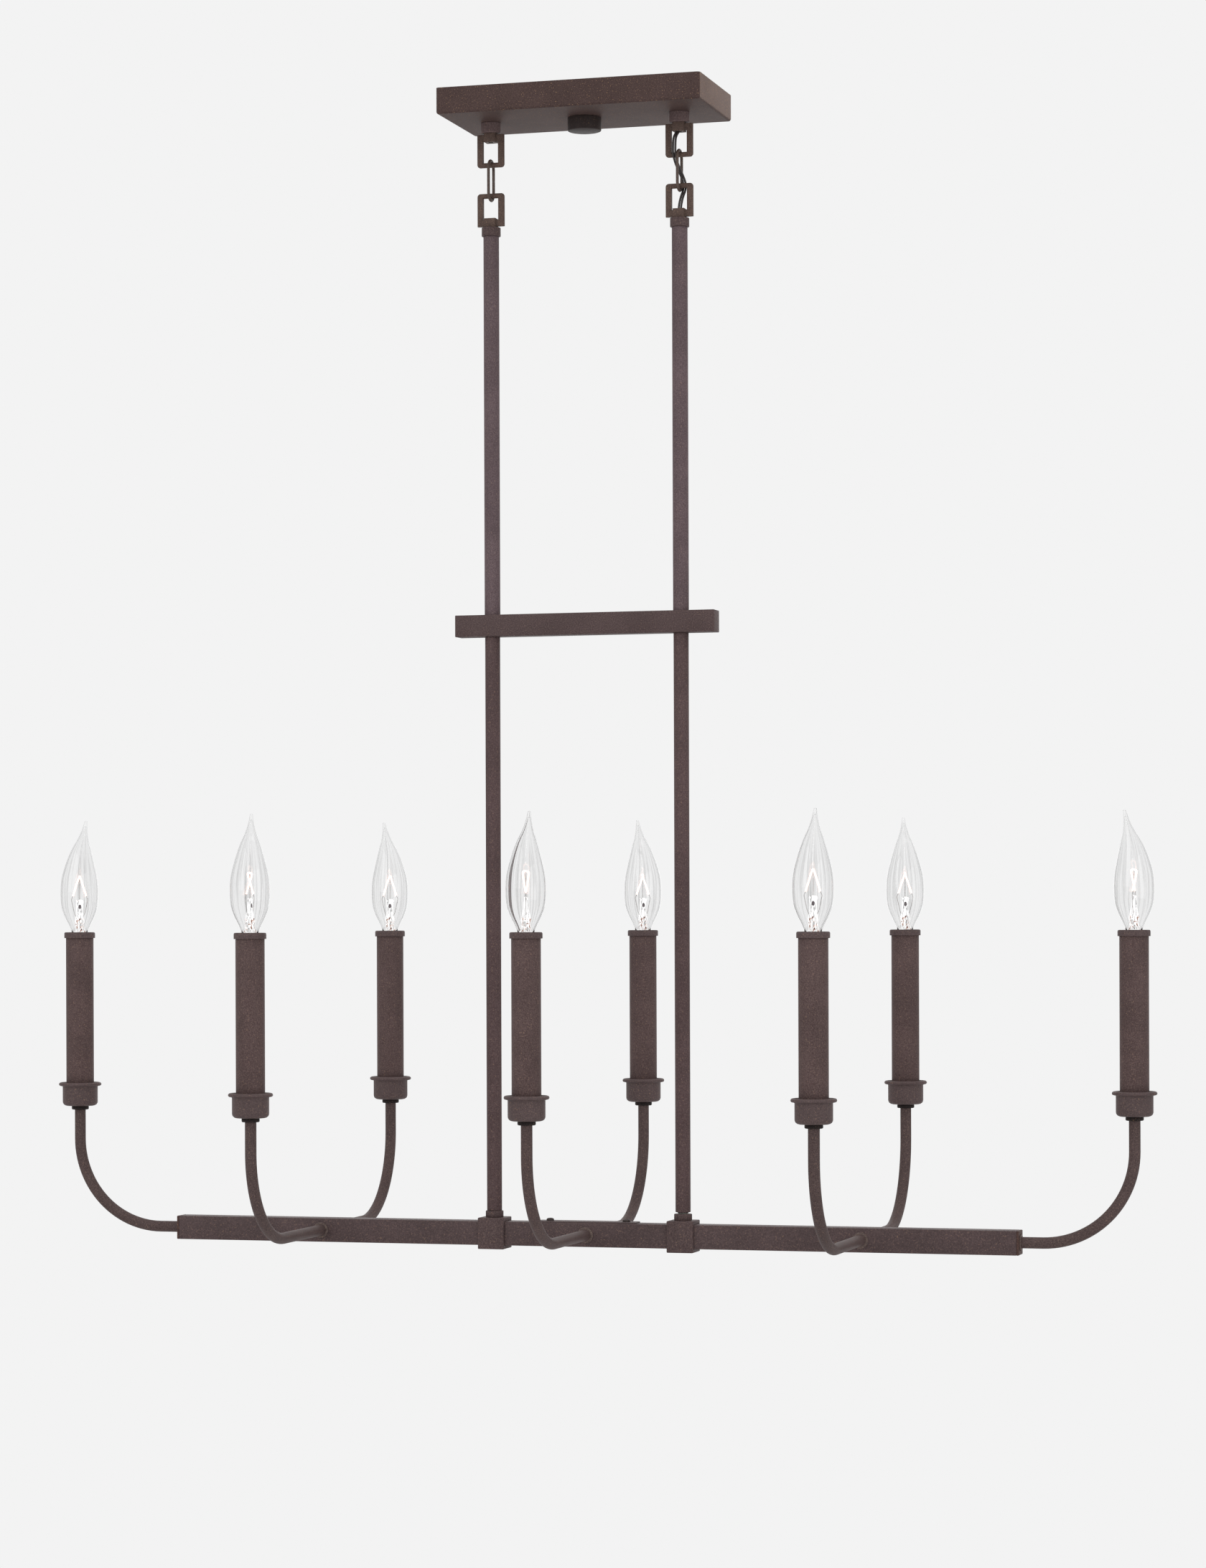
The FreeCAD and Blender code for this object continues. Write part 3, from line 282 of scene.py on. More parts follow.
def smoothed(mesh, crease):
    """Shade a mesh smooth, but sharp where its faces turn by the crease."""
    mesh.polygons.foreach_set("use_smooth", [True] * len(mesh.polygons))
    mesh.set_sharp_from_angle(angle=math.radians(crease))


def plain_piece(name, bm, crease=35):
    """A piece from a finished mesh, with its faces turned outwards."""
    bmesh.ops.recalc_face_normals(bm, faces=bm.faces)
    mesh = bpy.data.meshes.new(name)
    bm.to_mesh(mesh)
    bm.free()
    smoothed(mesh, crease)
    return show(bpy.data.objects.new(name, mesh))


def stood(bm, rings):
    """The vertices at the points of each ring."""
    return [[bm.verts.new(point) for point in ring] for ring in rings]


def laced(bm, low, high):
    """A band of faces between two rings of as many vertices."""
    for i in range(len(low)):
        j = (i + 1) % len(low)
        bm.faces.new((low[i], low[j], high[j], high[i]))


def skinned(bm, rings):
    """Faces between rings of as many points, with the first and the last ring filled."""
    loops = stood(bm, rings)
    for low, high in zip(loops, loops[1:]):
        laced(bm, low, high)
    bm.faces.new(loops[0])
    bm.faces.new(loops[-1])


def tube_along(name, points, radius, sides=12):
    """A round tube on a line that runs mostly downwards."""
    rings = []
    for i, point in enumerate(points):
        ahead = points[min(i + 1, len(points) - 1)] - points[max(i - 1, 0)]
        across = ahead.cross(Vector((0, 1, 0))).normalized() * radius
        along = ahead.cross(across).normalized() * radius
        turns = [math.tau * k / sides for k in range(sides)]
        rings.append([point + across * math.cos(t) + along * math.sin(t) for t in turns])
    bm = bmesh.new()
    skinned(bm, rings)
    return plain_piece(name, bm)


wire_sheath = sheath_finish()
REACHES = (
    ("upper", UPPER_ROUTE, ("canopy_mount", "link_right"), (-0.042, LINK_MIDDLE)),
    ("lower", LOWER_ROUTE, ("link_right", "fixture"), (LINK_MIDDLE, -0.1125)),
)
for label, route, bodies, heights in REACHES:
    for side in (-1, 1):
        x = HANGER_X + side * STRAND_STEP / 2
        points = spline_points([(x + a, b, c) for a, b, c in route])
        name = "%s_strand_%s" % (label, "left" if side < 0 else "right")
        strand = tube_along(name, points, STRAND_RADIUS)
        strand.data.materials.append(wire_sheath)
        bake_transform(strand)
        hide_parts("supply_wire_" + label)


# --- What hangs on the ceiling box ---
# A pressed steel strap, a pipe nipple with its lock nuts, threaded stems and a green earth
# screw. They are zinc-plated stock parts, and their solids are dressed as they are.
FINISH_SOCKETS = {"Color": "Color", "Roughness": "Float", "Height": "Float"}


def new_group(name, kind, inputs, outputs):
    """A node group with its sockets, each of a kind, and the outputs of its input node."""
    group = bpy.data.node_groups.new(name, kind)
    for way, sockets in (("INPUT", inputs), ("OUTPUT", outputs)):
        for label, sort in sockets.items():
            group.interface.new_socket(label, in_out=way, socket_type="NodeSocket" + sort)
    return group, add(group, "NodeGroupInput").outputs


def plated_group():
    """Zinc plating: bluish grey with soft spangles and fine drawing marks."""
    inputs = {"Metal": "Color", "Shade": "Color", "Grains": "Float"}
    group, given = new_group("plated_steel", "ShaderNodeTree", inputs, FINISH_SOCKETS)
    spangle = noise(group, given["Grains"], 3)
    marks = noise(group, 2500, 2, (1, 1, 0.1))
    light = ranged(group, spangle, 0.35, 0.65)
    tint = blended(group, light, given["Shade"], given["Metal"])
    dull = ranged(group, spangle, 0.3, 0.7, 0.42, 0.24)
    add(group, "NodeGroupOutput", {"Color": tint, "Roughness": dull, "Height": marks})
    return group


plated_steel = plated_group()


def patterned(name, group, depth, values, **constants):
    """A finish that takes its colour, roughness and relief from a group with these values."""
    material, tree = new_finish(name, **constants)
    pattern = add(tree, "ShaderNodeGroup", values, node_tree=group).outputs
    tint, dull = pattern["Color"], pattern["Roughness"]
    return surfaced(material, pattern["Height"], depth, Base_Color=tint, Roughness=dull)


def plated(name, metal, shade, grains=260):
    """A metal finish that uses the plating's pattern with its own colours."""
    values = {"Metal": paint(*metal), "Shade": paint(*shade), "Grains": grains}
    return patterned(name, plated_steel, 0.00002, values, Metallic=1.0)


def dressed(finish, *nodes):
    """The named solids shown as they are, in this finish."""
    for node in nodes:
        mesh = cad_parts[node].data
        if not mesh.materials:
            mesh.materials.append(finish)
        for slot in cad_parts[node].material_slots:
            slot.material = finish


zinc = plated("zinc_plate", (176, 178, 180), (140, 142, 146))
bright = plated("bright_thread", (214, 212, 208), (168, 166, 162), 700)
earth_green = plated("earth_green", (64, 138, 78), (38, 98, 52), 900)
dressed(zinc, "mounting_strap", "canopy_nipple", "canopy_lock_nuts", "bar_lock_nuts")
dressed(bright, "ferrule_stems", "rod_loop_stems", "rod_couplers", "socket_stems")
dressed(earth_green, "earth_screw")


# --- Canopy ---
# A pan folded from sheet steel, open towards the ceiling, with soft corners and lower edge.
# It is coated, as the whole fixture is, in a sandy brown bronze with a few golden flecks.
CANOPY_HALF = (0.125, 0.058)
CANOPY_DROP = 0.024
CANOPY_WALL = 0.0012
CANOPY_CORNER = 0.003
CANOPY_EDGE = 0.0022
LEAST_CORNER = 0.0006
EDGE_STEPS = 6
HOLLOW_STEPS = 3
# Where the painted highlight on the canopy's end face begins, and where it is full.
LIT_END_BAND = (0.0006, 0.0001)


def sandy_group():
    """A sandy baked coat: tiny dark and light grains, slow clouds and a few warm glints."""
    inputs = dict.fromkeys(("Coat", "Grain Tone", "Glint Tone"), "Color")
    inputs.update(dict.fromkeys(("Grains", "Clouds", "Glints"), "Float"))
    group, given = new_group("sandy_coat", "ShaderNodeTree", inputs, FINISH_SOCKETS)
    grain = noise(group, given["Grains"], 3)
    cloud = noise(group, 28, 3)
    spark = noise(group, 950, 1)
    grained = ranged(group, grain, 0.36, 0.66)
    light = blended(group, grained, given["Coat"], given["Grain Tone"])
    shading = {"data_type": "RGBA", "blend_type": "MULTIPLY"}
    shade = add(group, "ShaderNodeMix", {0: 1.0, 6: light, 7: grey(0.72)}, **shading)
    clouded = sum_up(group, "MULTIPLY", ranged(group, cloud, 0.35, 0.62, 1, 0), given["Clouds"])
    toned = blended(group, clouded, light, shade.outputs[2])
    sparks = ranged(group, spark, 0.68, 0.74)
    glint = sum_up(group, "MULTIPLY", sparks, given["Glints"], True)
    final = blended(group, glint, toned, given["Glint Tone"])
    dull = ranged(group, grain, 0.3, 0.7, 0.46, 0.66)
    add(group, "NodeGroupOutput", {"Color": final, "Roughness": dull, "Height": grain})
    return group


sandy_coat = sandy_group()
GLINT_TONE = paint(160, 126, 90)


def coated(name, coat, grain_tone, grains=950, clouds=0.5, glints=0.3, sheen=0.14):
    """The bronze coat in one of its tones."""
    values = {"Coat": paint(*coat), "Grain Tone": paint(*grain_tone), "Glint Tone": GLINT_TONE}
    values.update({"Grains": grains, "Clouds": clouds, "Glints": glints})
    return patterned(name, sandy_coat, 0.00012, values, IOR=1.45, Specular_IOR_Level=sheen)


def painted_lit_end(material, at, coat, grain_tone, glints):
    """The coat made lighter, with more glints, on the end face past a given X: a painted highlight
    where a lamp's light falls on that face.
    """
    tree = material.node_tree
    pattern = next(node for node in tree.nodes if node.type == "GROUP").inputs
    place = add(tree, "ShaderNodeTexCoord").outputs["Object"]
    along = add(tree, "ShaderNodeSeparateXYZ", {0: place}).outputs["X"]
    share = ranged(tree, along, at - LIT_END_BAND[0], at - LIT_END_BAND[1])
    for key, tone in (("Coat", coat), ("Grain Tone", grain_tone)):
        even = tuple(pattern[key].default_value)
        tree.links.new(blended(tree, share, even, tone), pattern[key])
    more = ranged(tree, share, 0, 1, pattern["Glints"].default_value, glints)
    tree.links.new(more, pattern["Glints"])


canopy_coat = coated("canopy_coat", (66, 52, 50), (86, 70, 67), glints=0.7, sheen=0.06)
# The canopy's right end face is painted lighter, with more glints: painted light from the lamp on
# that side.
painted_lit_end(canopy_coat, CANOPY_HALF[0], paint(100, 84, 79), paint(128, 110, 102), 1.0)


def rounded_rectangle(half_x, half_y, radius, z, steps=6):
    """One ring round a rectangle with round corners, at a height."""
    ring = []
    middles = ((1, 1), (-1, 1), (-1, -1), (1, -1))
    for quarter, (side_x, side_y) in enumerate(middles):
        for k in range(steps + 1):
            turn = math.pi / 2 * (quarter + k / steps)
            x = side_x * (half_x - radius) + radius * math.cos(turn)
            y = side_y * (half_y - radius) + radius * math.sin(turn)
            ring.append((x, y, z))
    return ring


def lower_edge(depth, radius, turns):
    """The rounding of the lower edge in section, (inset, height), at a depth in the sheet."""
    low = depth - CANOPY_DROP
    steps = [(1 - math.cos(turn), 1 - math.sin(turn)) for turn in turns]
    return [(depth + radius * inward, low + radius * up) for inward, up in steps]


def canopy_pan():
    """Rings down the outside, round the lower edge, and back up the inside."""
    half_x, half_y = CANOPY_HALF
    down = [math.pi / 2 * k / EDGE_STEPS for k in range(EDGE_STEPS + 1)]
    up = [math.pi / 2 * (1 - k / HOLLOW_STEPS) for k in range(HOLLOW_STEPS + 1)]
    outside = [(0, 0)] + lower_edge(0, CANOPY_EDGE, down)
    inside = lower_edge(CANOPY_WALL, CANOPY_EDGE - CANOPY_WALL, up) + [(CANOPY_WALL, 0)]
    rings = []
    for inset, z in outside + inside:
        corner = max(CANOPY_CORNER - inset, LEAST_CORNER)
        rings.append(rounded_rectangle(half_x - inset, half_y - inset, corner, z))
    bm = bmesh.new()
    loops = stood(bm, rings)
    under = len(outside) - 1
    for i, (a, b) in enumerate(zip(loops, loops[1:] + loops[:1])):
        if i != under:
            laced(bm, a, b)
    bm.faces.new(loops[under])
    bm.faces.new(loops[under + 1])
    return plain_piece("canopy_pan", bm)


def fit(obj, finish, *nodes, body="fixture", slot="bronze_paint"):
    """Finish a piece, and set it on its body in place of its solids."""
    obj.data.materials.clear()
    obj.data.materials.append(finish)
    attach(obj, body)
    if nodes:
        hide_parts(*nodes)


fit(canopy_pan(), canopy_coat, "canopy", body="canopy_mount")


# --- Cap nut ---
# A turned brass knob, coated dark, that screws up the nipple and holds the canopy to the
# ceiling. Its edge is broken all round.
KNOB_RADIUS = 0.0155
KNOB_LOW = -0.0364
KNOB_HOLE = (0.0052, -CANOPY_DROP - 0.008)
KNOB_EDGE = ((0.0011, 0), (0.0003, 0.0003), (0, 0.0010))
KNOB_BREAK = 0.0004


def circle(radius, z, steps, aside=0):
    """A ring of points about an upright line that stands so far aside, along X."""
    turns = [math.tau * k / steps for k in range(steps)]
    return [(aside + radius * math.cos(t), radius * math.sin(t), z) for t in turns]


def turned(name, outline, steps=48, crease=30):
    """A piece turned about the upright axis from its closed outline of (radius, height)."""
    bm = bmesh.new()
    rings = [circle(radius, z, steps) if radius else [(0, 0, z)] for radius, z in outline]
    loops = stood(bm, rings)
    for a, b in zip(loops, loops[1:] + loops[:1]):
        for k in range(steps):
            j = (k + 1) % steps
            corners = [a[k % len(a)], a[j % len(a)], b[j % len(b)], b[k % len(b)]]
            face = list(dict.fromkeys(corners))
            if len(face) > 2:
                bm.faces.new(face)
    return plain_piece(name, bm, crease)


knob_coat = coated("knob_coat", (37, 28, 27), (52, 42, 40), clouds=0.3, glints=0.2, sheen=0.2)
knob_outline = (
    (0, KNOB_LOW),
    *((KNOB_RADIUS - inset, KNOB_LOW + rise) for inset, rise in KNOB_EDGE),
    (KNOB_RADIUS, -CANOPY_DROP - KNOB_BREAK),
    (KNOB_RADIUS - KNOB_BREAK, -CANOPY_DROP),
    (KNOB_HOLE[0], -CANOPY_DROP),
    KNOB_HOLE,
    (0, KNOB_HOLE[1]),
)
fit(turned("cap_nut", knob_outline, steps=64), knob_coat, "canopy_cap_nut", body="canopy_mount")


# --- Ferrules ---
# Two short turned spacers between the canopy and the square loops, with a broken edge. The
# threaded stem that runs through each of them clamps the loop to the canopy.
FERRULE_RADIUS = 0.0091
FERRULE_LOW = -0.0335
LOWER_BREAK = 0.0005
UPPER_BREAK = 0.0003
STEM_HOLE = 0.0036
BOTH_HANGERS = [(side * HANGER_X, 0, 0, 0) for side in (-1, 1)]


def real_and_finished(tree, shape, finish):
    """The last nodes of a tree: what it made as a real mesh, in its finish."""
    real = add(tree, "GeometryNodeRealizeInstances", {"Geometry": shape}).outputs[0]
    finished = add(tree, "GeometryNodeSetMaterial", {"Geometry": real, "Material": finish})
    add(tree, "NodeGroupOutput", {"Geometry": finished.outputs[0]})


def places_tree():
    """Stand one pattern at each point of a mesh, turned about the upright axis."""
    inputs = {"Geometry": "Geometry", "Pattern": "Object", "Finish": "Material"}
    tree, given = new_group("on_places", "GeometryNodeTree", inputs, {"Geometry": "Geometry"})
    pattern = add(tree, "GeometryNodeObjectInfo", {"Object": given["Pattern"], "As Instance": True})
    turn = add(tree, "GeometryNodeInputNamedAttribute", {"Name": "turn"}, data_type="FLOAT")
    about = add(tree, "ShaderNodeCombineXYZ", {"Z": turn.outputs["Attribute"]}).outputs[0]
    at = {"Points": given["Geometry"], "Instance": pattern.outputs["Geometry"], "Rotation": about}
    copies = add(tree, "GeometryNodeInstanceOnPoints", at).outputs[0]
    real_and_finished(tree, copies, given["Finish"])
    return tree


on_places = places_tree()


def settled(obj):
    """Make what a piece's modifiers show its own plain mesh."""
    seen = obj.evaluated_get(bpy.context.evaluated_depsgraph_get())
    mesh = bpy.data.meshes.new_from_object(seen)
    obj.modifiers.clear()
    obj.data = mesh


def grown(obj, tree, inputs):
    """Make what a tree grows from an object the object's own plain mesh."""
    modifier = obj.modifiers.new(tree.name, "NODES")
    modifier.node_group = tree
    for item in tree.interface.items_tree:
        if item.in_out == "INPUT" and item.name in inputs:
            modifier[item.identifier] = inputs[item.name]
    settled(obj)


def spread(name, pattern, places, finish, *nodes, **where):
    """One piece that has the pattern at every place, (x, y, z, turn). The pattern itself goes."""
    mesh = bpy.data.meshes.new(name)
    mesh.from_pydata([place[:3] for place in places], [], [])
    turns = mesh.attributes.new("turn", "FLOAT", "POINT")
    turns.data.foreach_set("value", [place[3] for place in places])
    obj = show(bpy.data.objects.new(name, mesh))
    grown(obj, on_places, {"Pattern": pattern, "Finish": finish})
    bpy.data.objects.remove(pattern)
    fit(obj, finish, *nodes, **where)


# The spacers wear the bronze made lighter: painted light that makes up for the shade the canopy
# casts on them.
spacer_painted_light_coat = coated("spacer_painted_light_coat", (86, 70, 70), (110, 93, 92))
ferrule_outline = (
    (STEM_HOLE, FERRULE_LOW),
    (FERRULE_RADIUS - LOWER_BREAK, FERRULE_LOW),
    (FERRULE_RADIUS, FERRULE_LOW + LOWER_BREAK),
    (FERRULE_RADIUS, -CANOPY_DROP - UPPER_BREAK),
    (FERRULE_RADIUS - UPPER_BREAK, -CANOPY_DROP),
    (STEM_HOLE, -CANOPY_DROP),
)
ferrule = turned("ferrule", ferrule_outline)
spread("turned_ferrules", ferrule, BOTH_HANGERS, spacer_painted_light_coat, "ferrules", body="canopy_mount")


# --- Square loops ---
# Four cast frames with a block hub, two under the canopy and two on the rods. Their far bars
# are round where the link rides, the cast edges are eased, and they wear a browner coat.
LOOP_EASE = 0.0003
LOOP_CREASE = 40


def refined(node, name, ease):
    """A copy of a solid with its triangles joined, its flats made whole and its edges eased."""
    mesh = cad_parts[node].data.copy()
    bm = bmesh.new()
    bm.from_mesh(mesh)
    bmesh.ops.remove_doubles(bm, verts=bm.verts, dist=0.000001)
    bmesh.ops.dissolve_limit(bm, angle_limit=math.radians(1), verts=bm.verts, edges=bm.edges)
    bpy.data.meshes.remove(mesh)
    obj = plain_piece(name, bm)
    bevel = obj.modifiers.new("ease", "BEVEL")
    bevel.width = ease
    bevel.segments = 2
    bevel.limit_method = "ANGLE"
    bevel.angle_limit = math.radians(LOOP_CREASE)
    settled(obj)
    smoothed(obj.data, LOOP_CREASE)
    return obj


loop_coat = coated("loop_coat", (76, 61, 56), (100, 83, 75))
upper_loops = refined("canopy_loops", "cast_loops_canopy", LOOP_EASE)
fit(upper_loops, loop_coat, "canopy_loops", body="canopy_mount")
fit(refined("rod_loops", "cast_loops_rods", LOOP_EASE), loop_coat, "rod_loops")


# --- Chain links ---
# Each is one length of steel wire bent round to a long link, its ends butted half way up the
# rear limb. It hangs in the upper loop and carries the lower one, and both swing about it.
LINK_WIRE = 0.0027
LINK_HALF = 0.00765
LINK_TOP = -0.0588
LINK_LOW = -0.0956
LINK_SEAM = 0.0004
LINK_TUBE = (LINK_WIRE / 2, LINK_HALF, 20, 12)
TUBE_INPUTS = {"Radius": "Float", "Bend": "Float", "Sides": "Int", "Bend Steps": "Int"}


def tube_tree():
    """A round tube along each open line of a mesh, its corners rounded to one bend."""
    inputs = {"Geometry": "Geometry", **TUBE_INPUTS, "Finish": "Material"}
    tree, given = new_group("bent_tube", "GeometryNodeTree", inputs, {"Geometry": "Geometry"})
    line = add(tree, "GeometryNodeMeshToCurve", {"Mesh": given["Geometry"]}).outputs[0]
    rounding = {"Curve": line, "Count": given["Bend Steps"], "Radius": given["Bend"]}
    rounding["Limit Radius"] = True
    bent = add(tree, "GeometryNodeFilletCurve", rounding, mode="POLY").outputs[0]
    section = {"Resolution": given["Sides"], "Radius": given["Radius"]}
    profile = add(tree, "GeometryNodeCurvePrimitiveCircle", section).outputs[0]
    swept = {"Curve": bent, "Profile Curve": profile, "Fill Caps": True}
    tube = add(tree, "GeometryNodeCurveToMesh", swept).outputs[0]
    real_and_finished(tree, tube, given["Finish"])
    return tree


bent_tube = tube_tree()


def bent_tubes(name, lines, finish, sizes):
    """Tubes along lines of corner points, as one mesh with its faces outwards.

    The sizes are the tube's radius, the bends' radius, and the sides and steps to draw."""
    mesh = bpy.data.meshes.new(name)
    points = [point for line in lines for point in line]
    edges = []
    start = 0
    for line in lines:
        edges += [(start + k, start + k + 1) for k in range(len(line) - 1)]
        start += len(line)
    mesh.from_pydata(points, edges, [])
    obj = show(bpy.data.objects.new(name, mesh))
    grown(obj, bent_tube, {"Finish": finish, **dict(zip(TUBE_INPUTS, sizes))})
    bm = bmesh.new()
    bm.from_mesh(obj.data)
    bpy.data.objects.remove(obj)
    return plain_piece(name, bm)


link_steel = coated("link_coat", (58, 46, 42), (98, 83, 75), grains=1700, sheen=0.35)
middle = (LINK_TOP + LINK_LOW) / 2
for side, label in ((-1, "left"), (1, "right")):
    x = side * HANGER_X
    line = (
        (x, LINK_HALF, middle + LINK_SEAM / 2),
        (x, LINK_HALF, LINK_TOP),
        (x, -LINK_HALF, LINK_TOP),
        (x, -LINK_HALF, LINK_LOW),
        (x, LINK_HALF, LINK_LOW),
        (x, LINK_HALF, middle - LINK_SEAM / 2),
    )
    link = bent_tubes("wire_link_" + label, [line], link_steel, LINK_TUBE)
    fit(link, link_steel, "link_" + label, body="link_" + label)


# --- Terminal block ---
# A small block of pale moulded plastic on top of the right ferrule's stem, inside the canopy.
# The two strands of the supply wire end in it.
def moulded_finish(name, tone, light, roughness):
    """Moulded plastic: an even tone with a faint grain."""
    material, tree = new_finish(name, IOR=1.5)
    grain = noise(tree, 600, 2)
    tint = blended(tree, ranged(tree, grain, 0.3, 0.7), paint(*tone), paint(*light))
    dull = ranged(tree, grain, 0.3, 0.7, roughness, roughness + 0.12)
    return surfaced(material, grain, 0.00003, Base_Color=tint, Roughness=dull)


pale_plastic = moulded_finish("terminal_plastic", (214, 210, 200), (232, 228, 220), 0.4)
dressed(pale_plastic, "terminal_block")


# --- Rod collars and rods ---
# Drawn steel tubes. Each upper rod is closed by a turned collar that its loop's stem screws
# into. The slimmer lower rods stand on foot collars: the left one is screwed home, and the
# right one leaves a ring of bare bright thread.
ROD_BORE = 0.0053
ROD_BREAK = 0.0003
COLLAR = (0.0088, -0.1291, -0.1209, STEM_HOLE, 0.0005)
UPPER_ROD = (0.00725, -0.4801, -0.1291, ROD_BORE, ROD_BREAK)
LOWER_ROD_LEFT = (0.00695, -1.0315, -0.5001, ROD_BORE, ROD_BREAK)
LOWER_ROD_RIGHT = (0.00695, -1.0301, -0.5001, ROD_BORE, ROD_BREAK)
FOOT_COLLAR = (0.00825, -1.0377, -1.0317, 0.0052, 0.0006)


def sleeve_outline(radius, low, high, bore, edge):
    """A tube in section, with its outer edges broken by so much."""
    bow = edge * 0.3
    return (
        (bore, low),
        (radius - edge, low),
        (radius - bow, low + bow),
        (radius, low + edge),
        (radius, high - edge),
        (radius - bow, high - bow),
        (radius - edge, high),
        (bore, high),
    )


bronze = coated("bronze_coat", (69, 55, 55), (93, 78, 77))
upper_coat = coated("upper_rod_coat", (86, 71, 74), (108, 93, 96), clouds=0.6)
lower_coat = coated("lower_rod_coat", (74, 58, 58), (96, 79, 79), clouds=0.6)
LEFT, RIGHT = BOTH_HANGERS[:1], BOTH_HANGERS[1:]
UPPER_NODES = ("upper_rod_left", "upper_rod_right")
STOCK = (
    ("turned_collars", COLLAR, bronze, BOTH_HANGERS, "rod_collars"),
    ("drawn_upper_rods", UPPER_ROD, upper_coat, BOTH_HANGERS, *UPPER_NODES),
    ("drawn_lower_rod_left", LOWER_ROD_LEFT, lower_coat, LEFT, "lower_rod_left"),
    ("drawn_lower_rod_right", LOWER_ROD_RIGHT, lower_coat, RIGHT, "lower_rod_right"),
    ("turned_foot_collars", FOOT_COLLAR, bronze, BOTH_HANGERS, "foot_collars"),
)
for name, sizes, finish, places, *nodes in STOCK:
    pattern = turned(name + "_one", sleeve_outline(*sizes), steps=56)
    spread(name, pattern, places, finish, *nodes)


# --- Crossbar ---
# A square tube with welded ends that ties the two rods; their couplers pass through it.
# Its coat is the collars' own, and its edges are softly rounded.
CROSSBAR = ((-0.124, -0.0095, -0.5001), (0.124, 0.0095, -0.4801))
CROSSBAR_EASE = 0.0006


def bar_stock(name, low, high, edge):
    """A bar with square sides and softly rounded edges."""
    bm = bmesh.new()
    bmesh.ops.create_cube(bm, size=1)
    size = Vector(high) - Vector(low)
    bmesh.ops.scale(bm, vec=size, verts=bm.verts)
    bmesh.ops.translate(bm, vec=(Vector(high) + Vector(low)) / 2, verts=bm.verts)
    bmesh.ops.bevel(bm, geom=bm.edges, offset=edge, segments=3, profile=0.5, affect="EDGES")
    return plain_piece(name, bm, crease=60)


fit(bar_stock("square_crossbar", *CROSSBAR, CROSSBAR_EASE), bronze, "crossbar")


# --- Foot nipples ---
# Pipe nipples that run from inside each lower rod through its collar and saddle into the
# bar. A narrow ring of bright thread shows between the right rod and its foot collar, and
# the left rod hides its own.
FOOT_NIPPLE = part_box("foot_nipples")
THREAD_RADIUS = 0.0051
THREAD_BORE = 0.0036
THREAD_SHOWN = (-1.0325, -1.0288)
THREAD_PITCH = 0.0009
THREAD_DEPTH = 0.00035

low, high = FOOT_NIPPLE[0].z, FOOT_NIPPLE[1].z
first, last = THREAD_SHOWN
nipple_outline = [(THREAD_BORE, low), (THREAD_RADIUS, low), (THREAD_RADIUS, first)]
for k in range(int((last - first) / THREAD_PITCH)):
    groove = first + THREAD_PITCH * (k + 0.5)
    ridge = groove + THREAD_PITCH * 0.45
    nipple_outline += [(THREAD_RADIUS - THREAD_DEPTH, groove), (THREAD_RADIUS, ridge)]
nipple_outline += [(THREAD_RADIUS, high), (THREAD_BORE, high)]
nipple = turned("foot_nipple", nipple_outline, steps=40, crease=20)
spread("threaded_foot_nipples", nipple, BOTH_HANGERS, bright, "foot_nipples", slot="bright_steel")


# --- Main bar and its ends ---
# One long square tube, closed by a welded plate at each end, with the arms let into its
# sides. Its coat is a shade darker than the rods', and its corners are softly rounded.
BAR_LOW = -1.0632
BAR_HIGH = -1.0412
BAR_HALF = 0.4025
END_PLATE = 0.002
BAR_DEPTH = 0.01
BAR_EASE = 0.0008
PLATE_EASE = 0.0002
bar_coat = coated("bar_coat", (66, 52, 52), (88, 72, 72), clouds=0.6, sheen=0.25)
tube_half = BAR_HALF - END_PLATE
bar_ends = ((-tube_half, -BAR_DEPTH, BAR_LOW), (tube_half, BAR_DEPTH, BAR_HIGH))
fit(bar_stock("long_bar", *bar_ends, BAR_EASE), bar_coat, "main_bar")
end_coat = coated("end_coat", (67, 50, 47), (85, 64, 58), glints=0.4)
end_plates = refined("bar_end_plates", "welded_end_plates", PLATE_EASE)
fit(end_plates, end_coat, "bar_end_plates")


# --- Saddles ---
# Two square steel sleeves that the bar slides through, in the collars' coat. Each is clamped
# under its rod's foot by the nipple's lock nuts.
SADDLE_EASE = 0.0003
for side in ("left", "right"):
    saddle = refined("saddle_" + side, "square_saddle_" + side, SADDLE_EASE)
    fit(saddle, bronze, "saddle_" + side)


# --- Cover plate and its screws ---
# A thin plate between the saddles that closes the wiring slot in the bar's top, in the bar's
# coat. Two dark pan-head screws with a cross recess hold it.
COVER_HALF = (0.0475, 0.0085)
COVER_SHEET = 0.0012
COVER_CORNER = 0.0015
COVER_EDGE = ((0, 0.0012), (0, 0.0003), (0.0001, 0.0001), (0.0003, 0))
SCREW_SPREAD = 0.0365
SCREW_SHANK = (0.0015, -0.007)
SCREW_HEAD = (0.0036, 0.0024)
HEAD_BREAK = 0.0001
HEAD_STEPS = 6
RECESS = (0.0036, 0.0008, 0.003)
RECESS_RISE = 0.0004


def cover_sheet():
    """A sheet with round corners and a broken upper edge."""
    half_x, half_y = COVER_HALF
    rings = []
    for inset, down in COVER_EDGE:
        sizes = (half_x - inset, half_y - inset, COVER_CORNER - inset)
        rings.append(rounded_rectangle(*sizes, BAR_HIGH + COVER_SHEET - down))
    bm = bmesh.new()
    skinned(bm, rings)
    return plain_piece("cover_sheet", bm)


def moved(obj, x, y, z):
    """Shift a piece by moving its mesh."""
    obj.data.transform(Matrix.Translation((x, y, z)))
    return obj


fit(cover_sheet(), bar_coat, "cover_plate")

